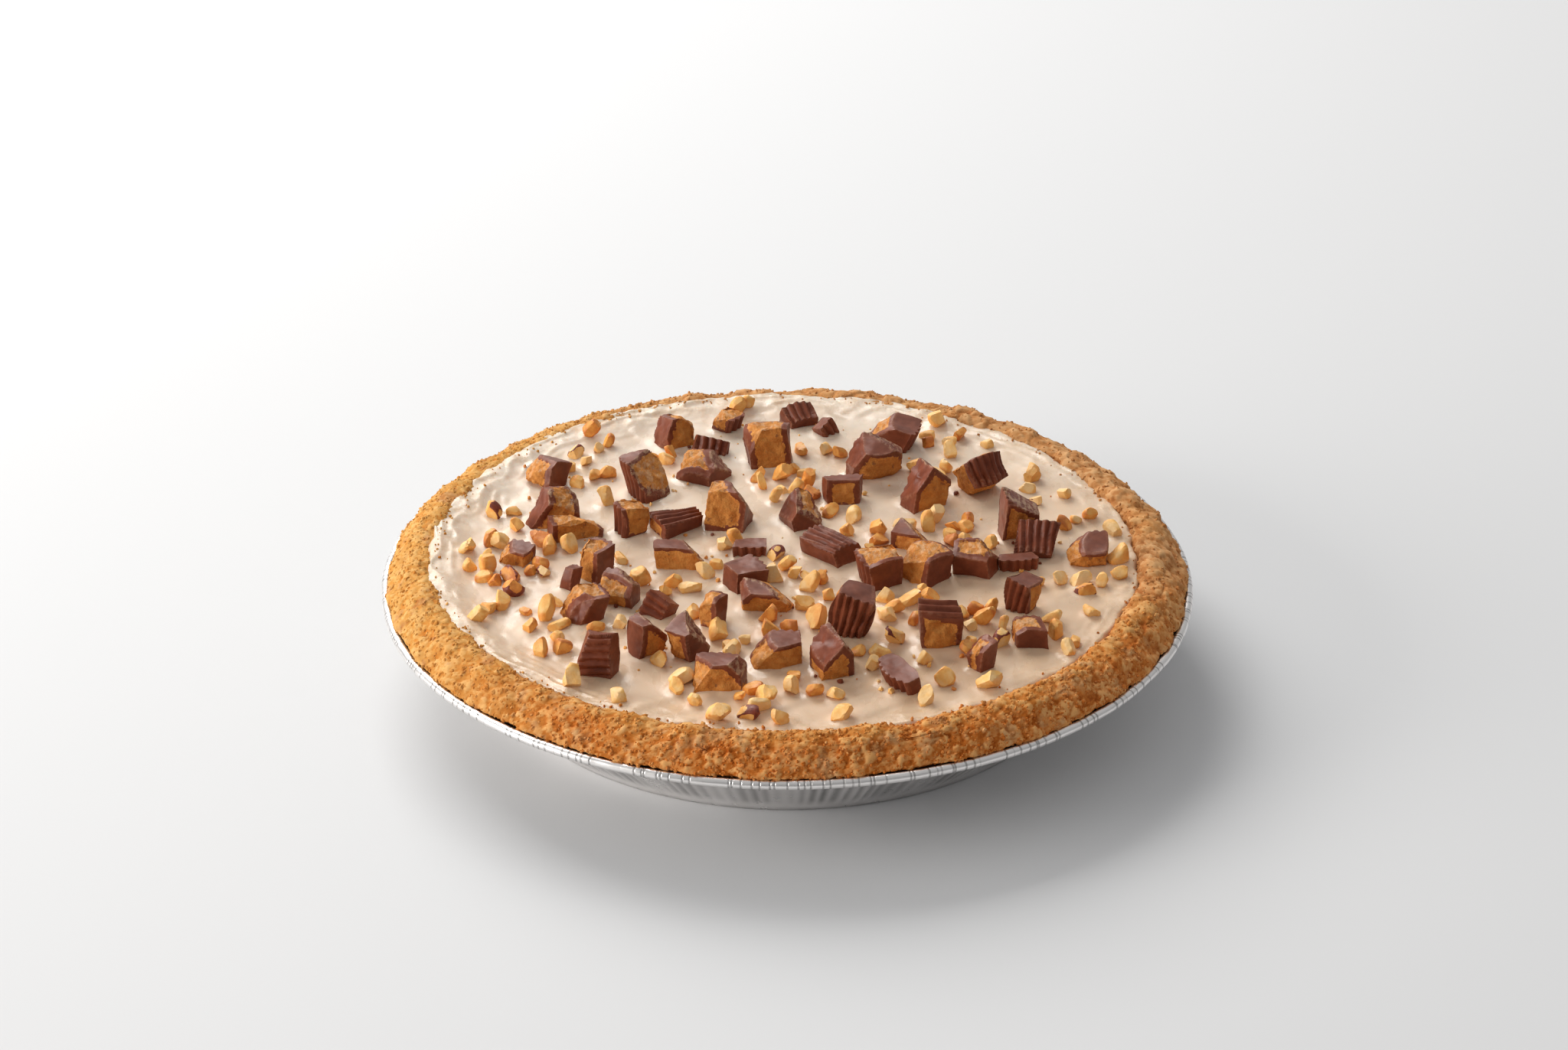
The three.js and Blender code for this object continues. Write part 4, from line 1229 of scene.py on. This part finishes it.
# %% [markdown]
# ## The cream
# The cream was spread with a spatula: nearly flat in the middle, and dragged into ridges towards the
# edge. It could be sculpted with a brush, but a sum of stretched noises gives the same marks and can be
# run again.

# %% Spatula marks
CREAM_DROP = 0.8


def cream_level(radius):
    """The level of the spread cream: flat, and falling with the sixth power of the radius at the edge."""
    return CREAM_LEVEL - CREAM_DROP * (radius / LIP_IN) ** 6


def spread(x, y):
    """The spatula's marks: ridges long round the pie and short across it, strong near the edge and at the
    left and back, broad low swells in the middle, and ripples, deepest in front on the right."""
    radius, angle = np.hypot(x, y), np.arctan2(y, x)
    flat = np.stack([x, y, 0 * x], -1)
    drift = 2.4 * swell(flat, 9, 51)
    along = np.stack([(radius + drift) / 2.8, 60 * np.cos(angle) / 5.5, 60 * np.sin(angle) / 5.5], -1)
    ridge = 1 - np.abs(swell(along, 1.0, 52))
    towards_edge = ease(radius, 82, 95)
    side = 0.5 + 0.5 * ease(facing(flat, 150), -0.3, 0.6)
    torn = 0.18 * swell(flat, 2.1, 58) + 0.08 * swell(flat, 1.2, 59)
    dragged = towards_edge * side * (0.8 * ridge**2 - 0.4 + torn)
    broad = 0.28 * swell(flat, 13, 53) + 0.12 * swell(flat, 4.5, 54)
    strokes = np.stack([(0.8 * x + 0.6 * y) / 17, (0.8 * y - 0.6 * x) / 2.6, 0 * x], -1)
    rippled = ease(facing(flat, -50), 0.1, 0.8) * ease(radius, 35, 65)
    return dragged + broad + (0.09 + 0.2 * rippled) * swell(strokes, 1.0, 55)


print("spatula marks at the middle:", round(float(spread(np.zeros(1), np.zeros(1))[0]), 2), "mm")

# %% [markdown]
# ## The cream's edge and top
# The cream laps over the crumb in a ragged line, highest at the back and left, and climbs a little round
# everything that was pressed into it. A height for each point of a polar grid is enough, because nothing
# overhangs, and the hidden underside closes the solid.

# %% Cream shape
CREAM_COLUMNS = 680
CREAM_ROWS = 132
CREAM_EDGE = 101.0
CREAM_RIM = 97.4
CREAM_SIDE = 140


def climbing(x, y):
    """The cream that climbs round pieces and nuts: a ridge that dies away within a millimetre or two."""
    height = np.zeros_like(x)
    for row in CUP_PIECES:
        away = np.stack([x - row[0][0], y - row[0][1]], -1)
        distance = np.linalg.norm(away, axis=-1)
        near = distance < 14
        towards = away[near] / np.maximum(distance[near], 1e-6)[:, None]
        beyond = distance[near] - 0.88 * piece_reach(row, towards)
        height[near] += 0.5 * np.exp(-((np.maximum(beyond, 0) / 1.3) ** 2))
    for (nut_x, nut_y), size in zip(nut_spot, nut_size):
        near = np.hypot(x - nut_x, y - nut_y) < size
        beyond = np.hypot(x[near] - nut_x, y[near] - nut_y) - 0.45 * size
        height[near] += 0.3 * np.exp(-((np.maximum(beyond, 0) / 0.8) ** 2))
    return np.minimum(height, 0.8)


def cream_rim(x, y):
    """The radius where the cream ends on the crumb: furthest out at the back and left, and ragged."""
    flat = np.stack([x, y, 0 * x], -1)
    ragged = swell(flat, 6.5, 56) + 0.6 * swell(flat, 2.4, 57)
    return CREAM_RIM + 1.6 * facing(flat, CREAM_SIDE) + 0.9 * ragged


def cream_surface(x, y):
    """The height of the cream at level places: it rises towards the lip, most at the back and left, and
    falls below the crumb past its ragged rim."""
    radius = np.hypot(x, y)
    side = 0.35 + 0.65 * ease(facing(np.stack([x, y], -1), CREAM_SIDE), -0.5, 0.6)
    rise = 2.6 * side * ease(radius, 84, 97)
    fall = -4.5 * ease(radius - cream_rim(x, y), -0.9, 1.6)
    return cream_level(radius) + spread(x, y) + climbing(x, y) + rise + fall


def cream_grid():
    """Rings from the hidden floor up the hidden side, then in over the top to the middle, closest together
    at the rim."""
    angle = around(CREAM_COLUMNS)[None, :]
    hidden = np.array([[30, 7.5], [73, 7.5], [76.5, 9.2], [94.5, 30.0]])
    below = carried_round(hidden[:, :1], hidden[:, 1:], angle)
    radius = CREAM_EDGE - (CREAM_EDGE - 0.35) * np.linspace(0, 1, CREAM_ROWS)[:, None] ** 1.3
    top = carried_round(radius, 0 * radius, angle)
    top[..., 2] = cream_surface(top[..., 0], top[..., 1])
    return np.concatenate([below, top])


cream_points = cream_grid()
print("cream rises to", round(float(cream_points[..., 2].max()), 2), "mm")

# %% [markdown]
# ## The cream's finish
# Peanut cream is a pale tan that lets light a little way in, so it gets some subsurface scattering. It is
# satin where it was smoothed and wetter in streaks. Painted light and shade drift its colour from a paler
# tan at the back, a painted reflection of the window, to a deeper brown in front and on the right, a
# painted shade. Near the crumb it takes up brown dust and butter.


# %% Cream finish
def cream_finish():
    """Two close tans drifting into a deeper brown in front and on the right as painted shade, paler at the
    back as painted reflection, stained near the lip, with streaks of higher gloss.
    """
    material, tree, shader = new_finish(
        "peanut_cream",
        Subsurface_Weight=0.22,
        Subsurface_Radius=(1.0, 0.62, 0.4),
        Subsurface_Scale=0.004,
    )
    pale, _ = mottle(tree, 14.0, 0.5, 0.16, rgb(0.82, 0.7, 0.57), rgb(0.77, 0.61, 0.46))
    # Painted shade and reflection: a deeper brown towards the front and right, a paler tan at the back.
    tan = blend(tree, stored(tree, "brown"), pale, rgb(0.73, 0.52, 0.345))
    stain = times(tree, stored(tree, "edge"), step_mask(tree, noise(tree, 2.6, 4.0), 0.45, 0.7))
    stained = blend(tree, times(tree, stain, 0.6), tan, rgb(0.6, 0.38, 0.2))
    _, fleck = mottle(tree, 1.1, 0.72, 0.03)
    flecked = blend(tree, times(tree, fleck, 0.35), stained, rgb(0.55, 0.34, 0.17))
    wet = noise(tree, 7.0, 3.0, stretch=(1.0, 0.4, 1.0))
    paint(tree, shader, flecked, step_mask(tree, wet, 0.38, 0.62, 0.5, 0.2))
    ruffled = step_mask(tree, stored(tree, "edge"), 0.0, 1.0, 0.25, 1.0)
    bump(tree, shader, times(tree, noise(tree, 1.4, 4.0), ruffled), 0.25, 0.6)
    return material


cream = cream_finish()
cream_reach = np.hypot(cream_points[..., 0], cream_points[..., 1])
edge_mask = np.concatenate([ease(cream_reach, 86, 97).ravel(), [0, 0]])
cream_corners = with_ends(cream_points)
# Painted shade and reflection: a deeper brown towards the front and right, a paler tan at the back.
front_shade = ease(0.45 * cream_corners[:, 0] - cream_corners[:, 1], -110, 90)
filling = new_piece(
    "spread_cream", cream_corners, ring_faces(*cream_points.shape[:2]), "cream", cream,
    edge=edge_mask, brown=front_shade,
)
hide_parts("cream_filling")

# %% [markdown]
# ## The chopped peanuts
# A chopped peanut has one or two round sides and some flat broken ones. Along each direction its reach is
# that of the round nut or of the first broken face it meets, whichever is shorter, so all the nuts come
# out of one formula as one array.

# %% Nut shape
NUT_GRID = 8
NUT_EDGE_PULL = 0.09
NUT_SUNK = 0.2


def broken_sides(chance, directions, count):
    """Unit directions for each nut and, along them, one over the reach to the first broken face. Six broken
    faces stand roughly square to each other, and three more cut off corners. Directions close to an edge are
    moved into the plane where its two faces tie."""
    towards = np.repeat((directions / np.linalg.norm(directions, axis=1, keepdims=True))[None], count, 0)
    square = np.concatenate([np.eye(3), -np.eye(3)])[None] + chance.normal(0, 0.24, (count, 6, 3))
    breaks = np.concatenate([square, chance.normal(size=(count, 3, 3))], 1)
    breaks /= np.linalg.norm(breaks, axis=2, keepdims=True)
    cuts = breaks / chance.uniform(0.5, 0.95, (count, 9, 1))
    order = np.argsort(-np.einsum("nbk,nvk->nbv", cuts, towards), axis=1)
    first, second = np.moveaxis(order[:, :2], 1, 0)
    each = np.arange(count)[:, None]
    across = cuts[each, first] - cuts[each, second]
    part = (across * towards).sum(-1) / (across**2).sum(-1)
    near_edge = np.abs(part) * np.linalg.norm(across, axis=-1) < NUT_EDGE_PULL
    towards = towards - np.where(near_edge, part, 0)[..., None] * across
    towards /= np.linalg.norm(towards, axis=-1, keepdims=True)
    return towards, np.einsum("nbk,nvk->nbv", cuts, towards).max(1)


def chopped_nuts(chance):
    """Points, faces, tone and skin of all nuts. The reach along a direction is one for the round nut, or
    less where the direction meets a broken face first. Each nut is then stretched, turned and set in the
    cream."""
    skin, quads = cube_skin(NUT_GRID)
    count = len(nut_size)
    towards, lengths = broken_sides(chance, skin, count)
    reach = 1 / np.maximum(lengths, 1.0)
    long = chance.uniform(0.44, 0.74, count)
    half = np.stack([long, chance.uniform(0.34, 0.48, count), chance.uniform(0.32, 0.46, count)], 1)
    shaped = towards * reach[..., None] * (half * nut_size[:, None])[:, None, :]
    lumps = 0.03 * nut_size[:, None] * swell(shaped + 31.0 * np.arange(count)[:, None, None], 1.7, 61)
    shaped += towards * lumps[..., None]
    points = np.einsum("nij,nkj->nki", turns(chance, count), shaped)
    seat = cream_surface(nut_spot[:, 0], nut_spot[:, 1])
    points[..., :2] += nut_spot[:, None, :]
    points[..., 2] += (seat - points[..., 2].min(1) - NUT_SUNK * nut_size)[:, None]
    round_side = 1 - ease(lengths, 0.9, 1.06)
    spots = np.array(SKIN_SPOTS, float)
    nearest = np.argmin(np.linalg.norm(spots[:, None] - nut_spot[None], axis=2), axis=1)
    skinned = np.isin(np.arange(count), nearest)[:, None]
    tone = chance.beta(1.2, 2.1, count)[:, None] + 0.3 * round_side
    faces = quads[None] + (np.arange(count) * len(skin))[:, None, None]
    return points.reshape(-1, 3), [faces.reshape(-1, 4)], tone.ravel(), (skinned * round_side).ravel()


nut_points, nut_faces, nut_tone, nut_skin = chopped_nuts(np.random.default_rng(7))
print("nuts rise to", round(float(nut_points[:, 2].max()), 1), "mm")

# %% [markdown]
# ## The nuts' finish
# Roasted peanut runs from pale cream through gold to orange, with a few papery red-brown skins. The tone
# of each nut picks its colour; drifting noise and a shallow grain keep a nut from being one flat shade.


# %% Nut finish
def nut_finish():
    """A ramp over each nut's tone, drifting a little, with torn red-brown skin where it is stored."""
    material, tree, shader = new_finish("roasted_peanut")
    drift = step_mask(tree, noise(tree, 2.4, 3.0), 0.25, 0.75, -0.22, 0.22)
    flesh = colours(tree, sums(tree, stored(tree, "tone"), drift), [
        (0.0, rgb(0.94, 0.63, 0.29)),
        (0.35, rgb(0.91, 0.51, 0.145)),
        (0.7, rgb(0.83, 0.35, 0.065)),
        (1.0, rgb(0.6, 0.18, 0.028)),
    ])
    skin, _ = mottle(tree, 1.2, 0.5, 0.15, rgb(0.25, 0.045, 0.018), rgb(0.15, 0.022, 0.01))
    torn = step_mask(tree, sums(tree, stored(tree, "skin"), noise(tree, 1.6, 3.0)), 0.85, 0.95)
    sheen = step_mask(tree, noise(tree, 1.0, 2.0), 0.3, 0.7, 0.4, 0.6)
    paint(tree, shader, blend(tree, torn, flesh, skin), sheen)
    bump(tree, shader, fine_grain(tree, 0.8), 0.12, 0.5)
    return material


nut = nut_finish()
nuts = new_piece(
    "chopped_peanuts", nut_points, nut_faces, "cream", nut, sharp=30,
    tone=nut_tone, skin=nut_skin,
)
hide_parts("cream_filling")

# %% [markdown]
# ## Crumbs on the cream
# Chopping leaves small change: flakes of chocolate and specks of nut near the pieces, and crumb from the
# lip along the edge of the cream. They use the same stones as the loose grains, one mesh for each kind.


# %% Small change
def near_pieces(chance, count, spread_mm):
    """Places just outside randomly chosen pieces: the piece's reach in a drawn direction plus a little."""
    chosen = chance.integers(0, len(CUP_PIECES), count)
    angle = chance.uniform(0, 2 * np.pi, count)
    towards = np.stack([np.cos(angle), np.sin(angle)], 1)
    reach = np.stack([piece_reach(row, towards) for row in CUP_PIECES])[chosen, np.arange(count)]
    middles = np.array([row[0] for row in CUP_PIECES], float)[chosen]
    places = middles + towards * (0.9 * reach + chance.exponential(spread_mm, count))[:, None]
    return places[np.linalg.norm(places, axis=1) < LIP_IN - 3]


def strewn(chance, places, typical, limits, flatness=0.55):
    """Stones that lie on the cream at level places, sunk by a third. Their sizes are lognormal, with a
    middle and a spread for the logarithm, held between two limits."""
    sizes = np.clip(chance.lognormal(*typical, len(places)), *limits)
    height = cream_surface(places[:, 0], places[:, 1]) + 0.17 * sizes
    return scattered(chance, np.concatenate([places, height[:, None]], 1), sizes, flatness)


chip_chance = np.random.default_rng(21)
chip_places = near_pieces(chip_chance, 26, 1.2)
chip_points, chip_faces = strewn(chip_chance, chip_places, (0.3, 0.35), (0.7, 2.6), 0.4)
zeros = np.zeros(len(chip_points))
new_piece(
    "chocolate_chips", chip_points, chip_faces, "chocolate", cup, smooth=False,
    depth=zeros, scuff=zeros, bloom=zeros, rub=zeros,
)

speck_chance = np.random.default_rng(22)
speck_places = near_pieces(speck_chance, 150, 4.0)
speck_points, speck_faces = strewn(speck_chance, speck_places, (0.0, 0.4), (0.45, 2.4))
speck_tone = np.repeat(speck_chance.uniform(0.05, 0.9, len(speck_places)), STONE_CORNERS)
new_piece(
    "nut_specks", speck_points, speck_faces, "cream", nut, smooth=False,
    tone=speck_tone, skin=0 * speck_tone,
)

FALLEN = 260
fallen_chance = np.random.default_rng(23)
fallen_angle = fallen_chance.uniform(0, 2 * np.pi, FALLEN)
fallen_reach = LIP_IN + 0.8 - fallen_chance.exponential(1.2, FALLEN)
fallen_places = np.stack([fallen_reach * np.cos(fallen_angle), fallen_reach * np.sin(fallen_angle)], 1)
fallen_points, fallen_faces = strewn(fallen_chance, fallen_places, (-0.4, 0.35), (0.35, 1.6))
fallen_tone = np.repeat(np.clip(fallen_chance.normal(0.55, 0.2, FALLEN), 0.05, 1), STONE_CORNERS)
new_piece(
    "fallen_crumb", fallen_points, fallen_faces, "crumb", crumb, smooth=False,
    tone=fallen_tone, toast=toasting(fallen_points), flour=flouriness(fallen_points),
)

# %% [markdown]
# ## The floor
# The part is shown alone, so it stands on one large pale plane. It is a stage and not a piece of the part.

# %% Floor
FLOOR_HALF = 20.0
floor_mesh = bpy.data.meshes.new("floor")
floor_corners = np.array([(-1, -1, 0), (1, -1, 0), (1, 1, 0), (-1, 1, 0)]) * FLOOR_HALF
floor_mesh.from_pydata(floor_corners.tolist(), [], [(0, 1, 2, 3)])
floor = bpy.data.objects.new("floor", floor_mesh)
bpy.context.scene.collection.objects.link(floor)
pale_floor, _, _ = new_finish("pale_floor", Base_Color=rgb(0.74, 0.745, 0.755), Roughness=0.7)
floor_mesh.materials.append(pale_floor)
print("floor is", 2 * FLOOR_HALF, "m wide")

# %% [markdown]
# ## Light
# The light is bright and soft: one large window behind and to the left, a pale card low on the left, and
# pale surroundings that fill the shadows. Two big area lamps stand for the window and the card, and a
# pale world for the room. The world is greyer on the near side, so that the foil has something to
# reflect.

# %% Light
PIE_MIDDLE = (0, 0, 0.03)


def area_light(name, place, size, power, colour):
    """A square lamp of that size and power at a place, turned to look at the pie's middle."""
    lamp = bpy.data.lights.new(name, "AREA")
    lamp.size = size
    lamp.energy = power
    lamp.color = colour
    holder = bpy.data.objects.new(name, lamp)
    bpy.context.scene.collection.objects.link(holder)
    holder.location = place
    x, y, z = np.array(place) - np.array(PIE_MIDDLE)
    holder.rotation_euler = (np.arctan2(np.hypot(x, y), z), 0, np.arctan2(x, -y))


def pale_room(strength, palest):
    """A world that is palest in one direction and greyest in the opposite one."""
    world = bpy.data.worlds.new("pale_room")
    bpy.context.scene.world = world
    world.use_nodes = True
    tree = world.node_tree
    leaning = add_node(tree, "ShaderNodeVectorMath", operation="DOT_PRODUCT")
    tree.links.new(tree.nodes.new("ShaderNodeTexCoord").outputs["Generated"], leaning.inputs[0])
    leaning.inputs[1].default_value = palest
    sky = colours(tree, step_mask(tree, leaning.outputs["Value"], -0.7, 0.9), [
        (0.0, rgb(0.28, 0.28, 0.285)),
        (1.0, rgb(1.0, 1.0, 1.0)),
    ])
    tree.links.new(sky, tree.nodes["Background"].inputs["Color"])
    tree.nodes["Background"].inputs["Strength"].default_value = strength


area_light("window", (-0.6, 1.05, 1.05), 1.13, 21.5, (1.0, 0.985, 0.96))
area_light("card", (-1.6, -0.45, 0.4), 1.0, 25, (1.0, 0.97, 0.93))
pale_room(0.46, (-0.05, 0.35, 0.93))
bpy.context.scene.view_settings.view_transform = "Standard"
print("lamps:", len(bpy.data.lights))
